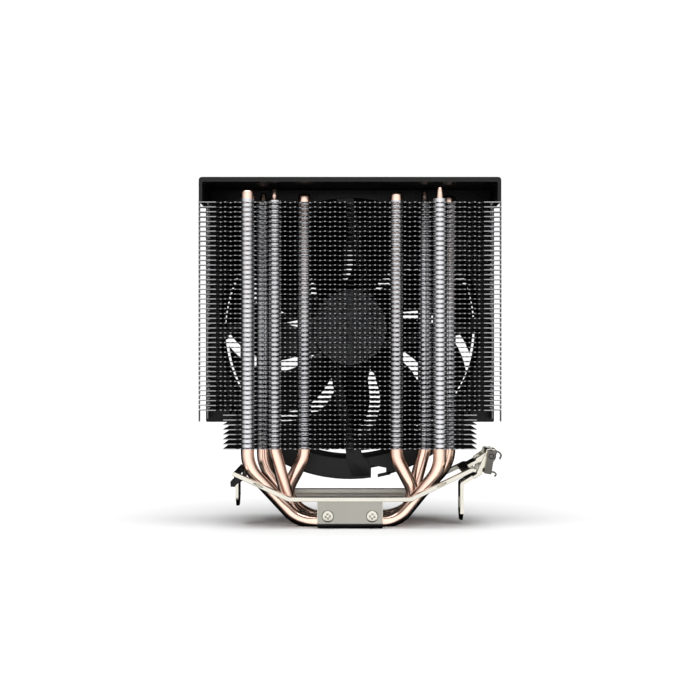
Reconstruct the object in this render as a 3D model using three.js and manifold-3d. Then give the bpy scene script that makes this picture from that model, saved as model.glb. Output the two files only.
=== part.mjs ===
// CPU tower cooler: fin stack on four heat pipes, base, clip and fan.
// Millimetres. +Z up, X across the fins, +Y towards the fan. Origin at the centre of the contact face.
import * as THREE from 'three';
import { mergeVertices } from 'three/addons/utils/BufferGeometryUtils.js';
import Module from 'manifold-3d';

// ---------------------------------------------------------------- driving dimensions
const GAP = 0.3; // clearance left between touching pieces
const ROUND = 40; // sides of the large circles

// fin stack
const FIN_COUNT = 52;
const WIDE_FIN_COUNT = 44;
const FINS_PER_NODE = 2;
const FIN_PITCH = 2.157;
const FIN_THICKNESS = 0.4;
const FIN_TOP_Z = 144.9;
const FIN_HALF_DEPTH = 19;
const WIDE_HALF = 64.5; // wide fin between its ears
const FRONT_EAR_HALF = 67.5;
const REAR_EAR_HALF = 66.4;
const EAR_DEPTH = 5;
const NARROW_HALF = 56.5;

// heat pipes
const PIPE_RADIUS = 3;
const PIPE_SIDES = 8;
const PIPE_TOP_Z = 151;
const PIPE_ROWS = [-13.5, -4.5, 4.5, 13.5]; // Y of the four pipes, front to back
const PIPE_RUN_Z = 2.3; // centre line across the base
const PIPE_FLAT_HEIGHT = 4.6;
const PIPE_FLAT_WIDTH = 7;
const PIPE_FLAT_END = 15; // |x| where the flat run ends
const PIPE_ROUND_START = 20; // |x| where the tube is round again
const TIP_LENGTH = 5;

// base block
const BASE_HALF_X = 14.5;
const BASE_HALF_Y = 23.4;
const BASE_HEIGHT = 9.4;

// clip frame, pressed from spring steel
const STEEL = 1.5;
const ARM_STEEL = 1.9;
const ARM_Z = 12.9; // middle of the flat stretch
const ARM_FLAT_HALF = 27;
const ARM_WIDTH = 5.5;
const CLIP_OUTER_Y = 25.3;
const LEFT_END = [-51.8, 24.4];
const RIGHT_END = [53.9, 25.9];
const FLANGE_BOTTOM_Z = 2.2;
const REAR_LIP_HALF_X = 26.3;
const REAR_LIP_BOTTOM_Z = 9.4;
const CLIP_SCREW_X = 9.8;
const CLIP_SCREW_Z = 5.6;

// cam lever and right hook; the lever's pivot runs along Y through PIVOT
const PIVOT = [63.4, 31.3]; // x and z
const PIN_RADIUS = 1.2;
const LEVER_HALF_Y = 14;
const LEVER_HEEL = [61.8, 23.4]; // x and z of the lower end of the grip
const LEVER_CROWN = [63.5, 33.8]; // x and z of its upper end
const GRIP_THICKNESS = 3.4;
const LEVER_SLOT_Y = [7.7, 11.6]; // slots in the grip that the ears reach through
const LEVER_SLOT_Z = 25.2;
const TONGUE_HALF_Y = 9.5;
const HOOK_HALF_Y = 8;
const HOOK_TRAVEL = 1.5;
const HOOK_LEG_X = 50.6;
const LEFT_LEG_X = -51.05;
const LEFT_HOOK_SHEET = 1.3;
const FINGER_SHEET = 1;

// top cover
const COVER_HALF_X = 67.8;
const COVER_Y = [-15, 48.3];
const COVER_Z = [145.45, 156.6];
const COVER_WALL = 1.6;
const COVER_ROOF = 2.2;

// fan
const FAN_Z = 89.3;
const BRACKET_Y = [19.3, 20.9];
const BRACKET_HALF_X = 67.5;
const BRACKET_Z = [45.3, 154.1];
const BRACKET_HOLE_RADIUS = 61;
const FRAME_Y = [21.8, 46.4];
const RING_INNER = 60.2;
const RING_OUTER = 71;
const FRAME_HALF_X = 67.3; // the ring is trimmed flat at both sides
const DUCT_WALL = 2.2;
const FLANGE_THICKNESS = 2.4;
const STRUT_COUNT = 4;
const MOTOR_BASE_RADIUS = 17.7;
const MOTOR_BASE_THICKNESS = 2.5;
const HUB_RADIUS = 17.6;
const HUB_WALL = 1.6;
const HUB_Y = [26.6, 44.4];
const BLADE_COUNT = 9;
const BLADE_TIP_RADIUS = 58.8;
const BLADE_SPREAD = 31.5; // degrees that one blade covers
const BLADE_START = 191.4; // angle of the first blade at BLADE_SWEEP_RADIUS
const BLADE_SWEEP_RADIUS = 31;
const BLADE_SWEEP = 0.3; // degrees per millimetre of radius
const BLADE_SWEEP_GROWTH = 0.025; // degrees per square millimetre
const BLADE_MIDDLE_Y = 35.2;
const SHAFT_RADIUS = 1.5;
const FAN_SCREW_RADIUS = 66.5;
const FAN_SCREW_ANGLE = 35;

// ---------------------------------------------------------------- materials
const finish = (color, roughness, metalness) =>
  new THREE.MeshStandardMaterial({ color, roughness, metalness, flatShading: true });

const ALUMINIUM = finish(0xb9bbbe, 0.35, 1);
const COPPER = finish(0xe3a487, 0.25, 1);
const BASE_METAL = finish(0xa9abad, 0.4, 1);
const SPRING_STEEL = finish(0xc0bcb0, 0.3, 1);
const SCREW_STEEL = finish(0xd8d6cc, 0.3, 1);
const GREY_METAL = finish(0x6a665c, 0.45, 0.8);
const BLACK_PLASTIC = finish(0x161616, 0.55, 0);
const FAN_PLASTIC = finish(0x0e0e0f, 0.5, 0);
const LABEL = finish(0x2b2b2d, 0.5, 0);
const MAGNET = finish(0x2e2b2a, 0.8, 0.2);
const BRONZE = finish(0xa97f45, 0.5, 0.9);
const LAMINATION = finish(0x7e8084, 0.5, 0.9);
const WINDING = finish(0xb5622f, 0.4, 0.7);
const BOARD = finish(0x1f5a36, 0.6, 0);

// ---------------------------------------------------------------- helpers
const wasm = await Module();
wasm.setup();

function toSolid(geometry) {
  const bare = geometry.clone();
  bare.deleteAttribute('normal');
  bare.deleteAttribute('uv');
  const merged = mergeVertices(bare, 1e-4);
  const corners = [];
  const index = merged.index.array;
  for (let i = 0; i < index.length; i += 3) {
    const [a, b, c] = [index[i], index[i + 1], index[i + 2]];
    if (a !== b && b !== c && c !== a) corners.push(a, b, c);
  }
  return new wasm.Manifold(new wasm.Mesh({
    numProp: 3,
    vertProperties: new Float32Array(merged.attributes.position.array),
    triVerts: new Uint32Array(corners),
  }));
}

function toGeometry(manifold) {
  const mesh = manifold.getMesh();
  const geometry = new THREE.BufferGeometry();
  geometry.setAttribute('position', new THREE.BufferAttribute(new Float32Array(mesh.vertProperties), 3));
  geometry.setIndex(new THREE.BufferAttribute(new Uint32Array(mesh.triVerts), 1));
  return geometry;
}

const join = (...pieces) => toGeometry(pieces.map(toSolid).reduce((sum, next) => sum.add(next)));

const cut = (body, ...tools) =>
  toGeometry(tools.map(toSolid).reduce((rest, tool) => rest.subtract(tool), toSolid(body)));

function box(x, y, z) {
  const geometry = new THREE.BoxGeometry(x[1] - x[0], y[1] - y[0], z[1] - z[0]);
  return geometry.translate((x[0] + x[1]) / 2, (y[0] + y[1]) / 2, (z[0] + z[1]) / 2);
}

const outline = (points) => new THREE.Shape(points.map(([a, b]) => new THREE.Vector2(a, b)));

const extrude = (shape, depth) =>
  new THREE.ExtrudeGeometry(shape, { depth, bevelEnabled: false, curveSegments: 4 });

// a shape drawn in X and Y, standing from z0 to z1
const prismZ = (shape, z0, z1) => extrude(shape, z1 - z0).translate(0, 0, z0);

// a shape drawn in X and Z, from y0 to y1
const prismY = (shape, y0, y1) => extrude(shape, y1 - y0).rotateX(Math.PI / 2).translate(0, y1, 0);

// a shape drawn in Y and Z, from x0 to x1
function prismX(shape, x0, x1) {
  const turn = new THREE.Matrix4().makeBasis(
    new THREE.Vector3(0, 1, 0), new THREE.Vector3(0, 0, 1), new THREE.Vector3(1, 0, 0));
  return extrude(shape, x1 - x0).applyMatrix4(turn).translate(x0, 0, 0);
}

// a turned piece about the Y direction; profile points are [radius, y], counter-clockwise
function turned(profile, sides, x = 0, z = 0) {
  const points = profile.map(([radius, y]) => new THREE.Vector2(radius, y));
  return new THREE.LatheGeometry(points, sides).translate(x, 0, z);
}

const discY = (radius, y, sides, x = 0, z = 0) =>
  turned([[0, y[0]], [radius, y[0]], [radius, y[1]], [0, y[1]]], sides, x, z);

const ringY = (inner, outer, y, sides, x = 0, z = 0) =>
  turned([[inner, y[0]], [outer, y[0]], [outer, y[1]], [inner, y[1]], [inner, y[0]]], sides, x, z);

const polar = (radius, degrees) => [
  radius * Math.cos(THREE.MathUtils.degToRad(degrees)),
  radius * Math.sin(THREE.MathUtils.degToRad(degrees)),
];

// outline of sheet metal of one thickness along a centre line, with mitred corners
function sheet(line, thickness) {
  const points = line.map(([a, b]) => new THREE.Vector2(a, b));
  const directions = points.slice(1).map((point, i) => point.clone().sub(points[i]).normalize());
  const left = [];
  const right = [];
  points.forEach((point, i) => {
    const before = directions[Math.max(i - 1, 0)];
    const after = directions[Math.min(i, directions.length - 1)];
    const along = before.clone().add(after).normalize();
    const reach = thickness / 2 / along.dot(before);
    const normal = new THREE.Vector2(-along.y, along.x).multiplyScalar(reach);
    left.push(point.clone().add(normal));
    right.push(point.clone().sub(normal));
  });
  return new THREE.Shape([...right, ...left.reverse()]);
}

const cooler = new THREE.Group();

function addPart(name, geometry, material) {
  const mesh = new THREE.Mesh(geometry, material);
  mesh.name = name;
  cooler.add(mesh);
}

// ---------------------------------------------------------------- heat pipes
// Each leg runs down from the top, turns towards the base through a knee, and turns level at the run.
// leg: x of the leg; kneeZ: height of the knee; runX: where the slope meets the run; radii of both bends
const OUTER_LEG = { leg: 46, kneeZ: 26.6, runX: 23.4, kneeRadius: 16, runRadius: 14 };
const STEEP_LEG = { leg: 40.3, kneeZ: 25.5, runX: 21.5, kneeRadius: 16, runRadius: 12.5 };
const MIDDLE_LEG = { leg: 34.3, kneeZ: 33.8, runX: 25.8, kneeRadius: 12, runRadius: 10 };
const INNER_LEG = { leg: 21, kneeZ: 30.1, runX: 35.6, kneeRadius: 14, runRadius: 11 };
// left leg, right leg, and whether the left end is the domed one
const PIPES = [
  { name: 'heat_pipe_a', left: OUTER_LEG, right: STEEP_LEG, domeLeft: true },
  { name: 'heat_pipe_b', left: MIDDLE_LEG, right: INNER_LEG, domeLeft: false },
  { name: 'heat_pipe_c', left: INNER_LEG, right: MIDDLE_LEG, domeLeft: true },
  { name: 'heat_pipe_d', left: STEEP_LEG, right: OUTER_LEG, domeLeft: false },
];
const BEND_STEPS = 4;

// points and directions along a bend that rounds off a corner
function bendStations(before, corner, after, radius) {
  const into = corner.clone().sub(before).normalize();
  const outOf = after.clone().sub(corner).normalize();
  const turn = into.angleTo(outOf);
  const setback = radius * Math.tan(turn / 2);
  const centreSide = outOf.clone().sub(into).normalize();
  const centre = corner.clone().addScaledVector(centreSide, Math.hypot(radius, setback));
  const stations = [];
  for (let i = 0; i <= BEND_STEPS; i++) {
    const angle = (turn * i) / BEND_STEPS;
    const axis = into.clone().cross(outOf).normalize();
    const tangent = into.clone().applyAxisAngle(axis, angle);
    const outward = corner.clone().addScaledVector(into, -setback).sub(centre);
    stations.push({ point: centre.clone().add(outward.applyAxisAngle(axis, angle)), tangent });
  }
  return stations;
}

// a curve that three.js samples only at the stations that the shape needs
class StationPath extends THREE.Curve {
  constructor(stations) {
    super();
    this.stations = stations;
  }

  at(u) {
    return this.stations[Math.round(u * (this.stations.length - 1))];
  }

  getPointAt(u) {
    return this.at(u).point.clone();
  }

  getTangentAt(u) {
    return this.at(u).tangent.clone();
  }
}

function pipeStations({ left, right }, y) {
  const down = new THREE.Vector3(0, 0, -1);
  const across = new THREE.Vector3(1, 0, 0);
  const heights = [PIPE_TOP_Z, PIPE_TOP_Z - 0.6, PIPE_TOP_Z - 1.8, PIPE_TOP_Z - TIP_LENGTH];
  const half = ({ leg, kneeZ, runX, kneeRadius, runRadius }) => {
    const top = new THREE.Vector3(-leg, y, PIPE_TOP_Z);
    const knee = new THREE.Vector3(-leg, y, kneeZ);
    const foot = new THREE.Vector3(-runX, y, PIPE_RUN_Z);
    const middle = new THREE.Vector3(0, y, PIPE_RUN_Z);
    return [
      ...heights.map((z) => ({ point: new THREE.Vector3(-leg, y, z), tangent: down })),
      ...bendStations(top, knee, foot, kneeRadius),
      ...bendStations(knee, foot, middle, runRadius),
      { point: new THREE.Vector3(-PIPE_FLAT_END, y, PIPE_RUN_Z), tangent: across },
    ];
  };
  const mirrored = half(right).reverse().map(({ point, tangent }) => ({
    point: new THREE.Vector3(-point.x, point.y, point.z),
    tangent: new THREE.Vector3(tangent.x, tangent.y, -tangent.z),
  }));
  return [...half(left), ...mirrored];
}

// width of a pipe end, as a share of its full width, at a distance below the top
function endWidth(depth, domed) {
  if (depth >= TIP_LENGTH) return 1;
  if (!domed) return 0.32 + 0.68 * (depth / TIP_LENGTH);
  return depth > 1.5 ? 1 : 0.55 + 0.45 * Math.sqrt(depth / 1.5);
}

function heatPipe(pipe, y) {
  const stations = pipeStations(pipe, y);
  // the corners sit so that a flat side faces down
  const circle = Array.from({ length: PIPE_SIDES }, (_, i) =>
    polar(PIPE_RADIUS, ((i + 0.5) * 360) / PIPE_SIDES));
  const flatSide = Math.cos(Math.PI / PIPE_SIDES);
  const geometry = new THREE.ExtrudeGeometry(outline(circle), {
    steps: stations.length - 1,
    bevelEnabled: false,
    extrudePath: new StationPath(stations),
  });
  const position = geometry.attributes.position;
  for (let i = 0; i < position.count; i++) {
    let [px, py, pz] = [position.getX(i), position.getY(i), position.getZ(i)];
    const leg = px < 0 ? -pipe.left.leg : pipe.right.leg;
    const width = endWidth(PIPE_TOP_Z - pz, px < 0 ? pipe.domeLeft : !pipe.domeLeft);
    if (pz > FIN_TOP_Z) {
      px = leg + (px - leg) * width;
      py = y + (py - y) * width;
    }
    const flat = 1 - THREE.MathUtils.smoothstep(Math.abs(px), PIPE_FLAT_END + 0.5, PIPE_ROUND_START);
    if (pz < 3 * PIPE_RADIUS && flat > 0) {
      const high = 1 + flat * (PIPE_FLAT_HEIGHT / (2 * PIPE_RADIUS * flatSide) - 1);
      const wide = 1 + flat * (PIPE_FLAT_WIDTH / (2 * PIPE_RADIUS) - 1);
      pz = PIPE_RUN_Z + (pz - PIPE_RUN_Z) * high;
      py = y + (py - y) * wide;
    }
    position.setXYZ(i, px, py, Math.max(pz, 0));
  }
  return geometry;
}

PIPES.forEach((pipe, row) => addPart(pipe.name, heatPipe(pipe, PIPE_ROWS[row]), COPPER));

// ---------------------------------------------------------------- fins
const PIPE_HOLE_HALF = PIPE_RADIUS + GAP;
const LEGS = PIPES.flatMap(({ left, right }, row) =>
  [-left.leg, right.leg].map((x) => ({ x, y: PIPE_ROWS[row] })));

const finZ = (index) => FIN_TOP_Z - index * FIN_PITCH;

function finPlate(index) {
  const deep = FIN_HALF_DEPTH;
  const ear = deep - EAR_DEPTH;
  const rightSide = index < WIDE_FIN_COUNT
    ? [[FRONT_EAR_HALF, -deep], [FRONT_EAR_HALF, -ear], [WIDE_HALF, -ear],
      [WIDE_HALF, ear], [REAR_EAR_HALF, ear], [REAR_EAR_HALF, deep]]
    : [[NARROW_HALF, -deep], [NARROW_HALF, deep]];
  const leftSide = rightSide.map(([x, y]) => [-x, y]).reverse();
  const z = finZ(index);
  return prismZ(outline([...rightSide, ...leftSide]), z - FIN_THICKNESS / 2, z + FIN_THICKNESS / 2);
}

// folded tabs on the front ears, which space the wide fins and reach almost to the next one
function spacerTabs(top, bottom) {
  return [-1, 1].map((side) => {
    const x = [side * FRONT_EAR_HALF, side * (FRONT_EAR_HALF - FIN_THICKNESS)].sort((a, b) => a - b);
    return box(x, [-FIN_HALF_DEPTH, EAR_DEPTH - FIN_HALF_DEPTH], [bottom, top]);
  });
}

// collars round the two inner legs, which join narrow fins
function collars(top, bottom) {
  const half = PIPE_HOLE_HALF + 0.5;
  return LEGS.filter(({ x }) => Math.abs(x) === INNER_LEG.leg)
    .map(({ x, y }) => box([x - half, x + half], [y - half, y + half], [bottom, top]));
}

for (let first = 0; first < FIN_COUNT; first += FINS_PER_NODE) {
  const plates = Array.from({ length: FINS_PER_NODE }, (_, i) => finPlate(first + i));
  const top = finZ(first);
  const last = finZ(first + FINS_PER_NODE - 1);
  const links = first < WIDE_FIN_COUNT
    ? spacerTabs(top, last - FIN_PITCH + FIN_THICKNESS / 2 + GAP)
    : collars(top, last);
  const pipeHoles = LEGS.map(({ x, y }) => box([x - PIPE_HOLE_HALF, x + PIPE_HOLE_HALF],
    [y - PIPE_HOLE_HALF, y + PIPE_HOLE_HALF], [last - 1, top + 1]));
  const number = String(first / FINS_PER_NODE + 1).padStart(2, '0');
  addPart(`fin_pair_${number}`, cut(join(...plates, ...links), ...pipeHoles), ALUMINIUM);
}

// ---------------------------------------------------------------- base block
function baseBlock() {
  const block = box([-BASE_HALF_X, BASE_HALF_X], [-BASE_HALF_Y, BASE_HALF_Y], [0, BASE_HEIGHT]);
  const groove = PIPE_FLAT_WIDTH / 2 + GAP + 0.1;
  const grooves = PIPE_ROWS.map((y) =>
    box([-20, 20], [y - groove, y + groove], [-1, PIPE_FLAT_HEIGHT + GAP]));
  const screwHoles = [-CLIP_SCREW_X, CLIP_SCREW_X].flatMap((x) =>
    [[-BASE_HALF_Y - 1, -18.1], [18.1, BASE_HALF_Y + 1]].map((y) => discY(1.85, y, 8, x, CLIP_SCREW_Z)));
  return cut(block, ...grooves, ...screwHoles);
}
addPart('base_block', baseBlock(), BASE_METAL);

// ---------------------------------------------------------------- clip frame
function clipFrame() {
  const armLine = [LEFT_END, [-ARM_FLAT_HALF, ARM_Z], [ARM_FLAT_HALF, ARM_Z], RIGHT_END];
  const front = [-CLIP_OUTER_Y, ARM_WIDTH - CLIP_OUTER_Y];
  const rear = [CLIP_OUTER_Y - ARM_WIDTH, CLIP_OUTER_Y];
  const arms = [front, rear].map(([y0, y1]) => prismY(sheet(armLine, ARM_STEEL), y0, y1));
  const endBars = [
    sheet([LEFT_END, [-49.3, 23.26]], STEEL),
    sheet([[50.4, 24.22], RIGHT_END, [55.8, 25.6]], STEEL),
  ].map((shape) => prismY(shape, -CLIP_OUTER_Y, CLIP_OUTER_Y));
  const flanges = [[-CLIP_OUTER_Y, STEEL - CLIP_OUTER_Y], [CLIP_OUTER_Y - STEEL, CLIP_OUTER_Y]].map((y) =>
    box([-BASE_HALF_X, BASE_HALF_X], y, [FLANGE_BOTTOM_Z, ARM_Z]));
  const rearLip = box([-REAR_LIP_HALF_X, REAR_LIP_HALF_X], [CLIP_OUTER_Y - STEEL, CLIP_OUTER_Y],
    [REAR_LIP_BOTTOM_Z, ARM_Z]);
  // the tongue rises towards the lever, and its two ears carry the pivot pin
  const tongue = prismY(sheet([[53.2, 26.5], [59.9, 30.1]], STEEL), -TONGUE_HALF_Y, TONGUE_HALF_Y);
  const earOutline = outline([
    [56.3, 27.7], [61, 29], [65.3, 29.6], [65.9, 31.6], [64.6, 33.6], [62, 33.5], [56.8, 30],
  ]);
  const ears = [[-TONGUE_HALF_Y, STEEL - TONGUE_HALF_Y], [TONGUE_HALF_Y - STEEL, TONGUE_HALF_Y]]
    .map(([y0, y1]) => prismY(earOutline, y0, y1));
  const pinHole = discY(PIN_RADIUS + GAP, [-20, 20], 10, ...PIVOT);
  const screwHoles = [-CLIP_SCREW_X, CLIP_SCREW_X].flatMap((x) =>
    [[-30, -20], [20, 30]].map((y) => discY(1.9, y, 8, x, CLIP_SCREW_Z)));
  return cut(join(...arms, ...endBars, ...flanges, rearLip, tongue, ...ears), pinHole, ...screwHoles);
}
addPart('clip_frame', clipFrame(), SPRING_STEEL);

// pan-head screw: head on the side that `facing` points to (-1 front, 1 rear)
function clipScrew(x, facing) {
  const seat = CLIP_OUTER_Y + GAP;
  const profile = [[0, seat + 1.9], [1.4, seat + 1.8], [2.3, seat + 1.3], [2.6, seat + 0.6], [2.6, seat],
    [1.5, seat], [1.5, 18.6], [0, 18.6]].reverse();
  const screw = turned(profile, 8);
  if (facing < 0) screw.rotateX(Math.PI);
  return screw.translate(x, 0, CLIP_SCREW_Z);
}
[['front', -1], ['rear', 1]].forEach(([end, facing]) => {
  addPart(`clip_screw_${end}_left`, clipScrew(-CLIP_SCREW_X, facing), SCREW_STEEL);
  addPart(`clip_screw_${end}_right`, clipScrew(CLIP_SCREW_X, facing), SCREW_STEEL);
});

// ---------------------------------------------------------------- cam lever and hooks
// a grip that hangs from its knuckle, with a curled finger edge at the top and a small one below
function camLever() {
  const half = LEVER_HALF_Y;
  const knuckle = discY(2.3, [-half, half], 12, ...PIVOT);
  const grip = prismY(sheet([LEVER_HEEL, LEVER_CROWN], GRIP_THICKNESS), -half, half);
  const topCurl = sheet([[64, 33.4], [66.6, 33.4], [68.1, 31.9], [67.2, 29.9]], 0.8);
  const lowerCurl = sheet([[62.6, 24.3], [64.9, 24.1], [65.8, 23.1], [64.9, 22.2]], 0.8);
  const [inner, outer] = LEVER_SLOT_Y;
  const curls = [topCurl, lowerCurl].flatMap((shape) =>
    [[1 - half, -outer], [outer, half - 1]].map(([y0, y1]) => prismY(shape, y0, y1)));
  const slots = [[-outer, -inner], [inner, outer]].map((y) => box([50, 80], y, [LEVER_SLOT_Z, 40]));
  return cut(join(knuckle, grip, ...curls), discY(PIN_RADIUS + GAP, [-20, 20], 10, ...PIVOT), ...slots);
}
addPart('cam_lever', camLever(), GREY_METAL);

const PIN_END = LEVER_HALF_Y - 0.2;
addPart('lever_pivot_pin', discY(PIN_RADIUS, [-PIN_END, PIN_END], 10, ...PIVOT), SCREW_STEEL);

// strap with a hanging leg; its two ears ride on the pivot pin in upright slots
function leverHook() {
  const inner = TONGUE_HALF_Y + GAP;
  const outer = inner + STEEL;
  const leg = [HOOK_LEG_X - STEEL / 2, HOOK_LEG_X + STEEL / 2];
  const strapEnd = [59, 23.7];
  const strap = prismY(sheet([[HOOK_LEG_X, 5], [HOOK_LEG_X, 18.4], strapEnd], STEEL), -HOOK_HALF_Y, HOOK_HALF_Y);
  const yoke = prismY(sheet([[55.6, 21.55], strapEnd], STEEL), -outer, outer);
  const earOutline = outline([
    [57.2, 21.75], [59.4, 23.07], [59.75, 25.6], [65.2, 28.9],
    [65.6, 34.4], [61.6, 34.6], [60.2, 30.5], [57, 24],
  ]);
  const ears = [[-outer, -inner], [inner, outer]].map(([y0, y1]) => prismY(earOutline, y0, y1));
  const tip = prismX(outline([[-HOOK_HALF_Y, 5.2], [-3, 1.7], [3, 1.7], [HOOK_HALF_Y, 5.2]]), ...leg);
  const window = box([49, 52], [-4.5, 4.5], [6.5, 12.5]);
  const slotHalf = PIN_RADIUS + GAP;
  const slot = box([PIVOT[0] - slotHalf, PIVOT[0] + slotHalf], [-20, 20],
    [PIVOT[1] - slotHalf, PIVOT[1] + slotHalf + HOOK_TRAVEL]);
  return cut(join(strap, yoke, ...ears, tip), window, slot);
}
addPart('lever_hook', leverHook(), SPRING_STEEL);

// a head under the left end bar, two fingers that reach over the bar, and a pointed leg with a window
function leftHook() {
  const sheetX = [LEFT_LEG_X - LEFT_HOOK_SHEET / 2, LEFT_LEG_X + LEFT_HOOK_SHEET / 2];
  const head = prismY(outline([
    [-52.2, 17.1], [-50.4, 18.6], [-47.6, 20.6], [-47.6, 21.7], [-49.3, 21.3], [-52.4, 22.1], [-52.7, 19.8],
    [-54.1, 19.7], [-54, 17.1],
  ]), -HOOK_HALF_Y, HOOK_HALF_Y);
  const leg = box(sheetX, [-HOOK_HALF_Y, HOOK_HALF_Y], [12, 19]);
  const fingerLine = [[-48.1, 21], [-48.1, 24.45], [-49.9, 25.27]];
  const fingers = [[-HOOK_HALF_Y, -5], [5, HOOK_HALF_Y]].map(([y0, y1]) =>
    prismY(sheet(fingerLine, FINGER_SHEET), y0, y1));
  const tip = prismX(outline([[-HOOK_HALF_Y, 12.2], [-3, 8.2], [3, 8.2], [HOOK_HALF_Y, 12.2]]), ...sheetX);
  const window = box([-55, -49], [-4.5, 4.5], [12.4, 17]);
  return cut(join(head, leg, ...fingers, tip), window);
}
addPart('left_hook', leftHook(), SPRING_STEEL);

// ---------------------------------------------------------------- top cover
function topCover() {
  const [z0, z1] = COVER_Z;
  const corner = 1.4;
  const outer = new THREE.Shape();
  outer.moveTo(-COVER_HALF_X, z0);
  outer.lineTo(COVER_HALF_X, z0);
  outer.lineTo(COVER_HALF_X, z1 - corner);
  outer.absarc(COVER_HALF_X - corner, z1 - corner, corner, 0, Math.PI / 2);
  outer.absarc(-COVER_HALF_X + corner, z1 - corner, corner, Math.PI / 2, Math.PI);
  const inside = COVER_HALF_X - COVER_WALL;
  const hollow = box([-inside, inside], [COVER_Y[0] - 1, COVER_Y[1] - COVER_WALL], [z0 - 1, z1 - COVER_ROOF]);
  const fanArch = discY(RING_INNER + 1, [COVER_Y[1] - 3, COVER_Y[1] + 1], ROUND, 0, FAN_Z);
  return cut(prismY(outer, ...COVER_Y), hollow, fanArch);
}
addPart('top_cover', topCover(), BLACK_PLASTIC);

// ---------------------------------------------------------------- fan bracket and frame
const FAN_SCREWS = [FAN_SCREW_ANGLE, 180 - FAN_SCREW_ANGLE, 180 + FAN_SCREW_ANGLE, -FAN_SCREW_ANGLE]
  .map((angle) => polar(FAN_SCREW_RADIUS, angle));

function fanBracket() {
  const [z0, z1] = BRACKET_Z;
  const shoulderZ = COVER_Z[0] - GAP; // the plate narrows to fit inside the cover
  const wide = BRACKET_HALF_X;
  const narrow = COVER_HALF_X - COVER_WALL - GAP;
  const plate = prismY(outline([
    [-wide, z0], [wide, z0], [wide, shoulderZ], [narrow, shoulderZ],
    [narrow, z1], [-narrow, z1], [-narrow, shoulderZ], [-wide, shoulderZ],
  ]), ...BRACKET_Y);
  const opening = discY(BRACKET_HOLE_RADIUS, [10, 30], ROUND, 0, FAN_Z);
  const holes = FAN_SCREWS.map(([x, z]) => discY(1.9, [10, 30], 8, x, FAN_Z + z));
  return cut(plate, opening, ...holes);
}
addPart('fan_bracket', fanBracket(), BLACK_PLASTIC);

// strut from the motor base to the ring, drawn for the lowest position, with its slotted foot
function strut(angle) {
  const [y0] = FRAME_Y;
  const bar = prismY(outline([[-10.5, -14], [-5.5, -16.4], [3.5, -57.5], [9, -69.5], [1, -69.8], [-2, -58]]),
    y0, y0 + FLANGE_THICKNESS);
  const foot = cut(
    prismY(outline([[-1.6, -57], [-2, -61], [1, -69.6], [10, -69.2], [8.6, -61.5], [6.3, -60.5], [5, -57]]),
      y0 - 0.6, y0 + 1),
    prismY(outline([[0.6, -56], [2.2, -62], [3.8, -63.4], [5.2, -62], [4, -56]]), y0 - 1, y0 - 0.05));
  return join(bar, foot).rotateY(THREE.MathUtils.degToRad(-angle)).translate(0, 0, FAN_Z);
}

function fanFrame() {
  const [y0, y1] = FRAME_Y;
  const duct = ringY(RING_INNER, RING_INNER + DUCT_WALL, FRAME_Y, ROUND, 0, FAN_Z);
  const flanges = [[y0, y0 + FLANGE_THICKNESS], [y1 - FLANGE_THICKNESS, y1]].map((y, i) =>
    ringY(RING_INNER + 0.6, RING_OUTER - 3 * i, y, ROUND, 0, FAN_Z));
  const trims = [
    box([-80, -FRAME_HALF_X], [10, 60], [0, 170]),
    box([FRAME_HALF_X, 80], [10, 60], [0, 170]),
    box([-80, 80], [10, 60], [COVER_Z[1] - COVER_ROOF - GAP, 170]),
  ];
  const motorBase = discY(MOTOR_BASE_RADIUS, [y0, y0 + MOTOR_BASE_THICKNESS], 24, 0, FAN_Z);
  const tube = discY(4.3, [y0 + 1, 36], 12, 0, FAN_Z);
  const tubeBore = discY(3.2, [y0 - 2, 40], 12, 0, FAN_Z);
  const struts = Array.from({ length: STRUT_COUNT }, (_, i) => strut((i * 360) / STRUT_COUNT));
  const holes = FAN_SCREWS.map(([x, z]) => discY(1.9, [20, 26], 8, x, FAN_Z + z));
  // notch in the lower edge that holds the fan's lead, with the finger that closes it
  const notch = prismY(outline([[9.8, 17], [17, 17], [17, 23.6], [10, 25]]), 20, 26);
  const finger = prismY(outline([[13, 19.2], [19, 20.5], [19, 22], [13, 20.6]]), y0, y0 + FLANGE_THICKNESS);
  const body = cut(join(duct, ...flanges, motorBase, tube), ...trims, tubeBore, ...holes, notch);
  return join(body, ...struts.map((bar) => cut(bar, ...trims, tubeBore)), finger);
}
addPart('fan_frame', fanFrame(), FAN_PLASTIC);

function fanScrew() {
  const seat = FRAME_Y[0] + FLANGE_THICKNESS + GAP;
  const profile = [[0, 19.7], [1.6, 19.7], [1.6, seat], [2.7, seat], [2.7, seat + 1.2], [1.6, seat + 2],
    [0, seat + 2]];
  return turned(profile, 8);
}
FAN_SCREWS.forEach(([x, z], i) =>
  addPart(`fan_screw_${i + 1}`, fanScrew().translate(x, 0, FAN_Z + z), SCREW_STEEL));

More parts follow.
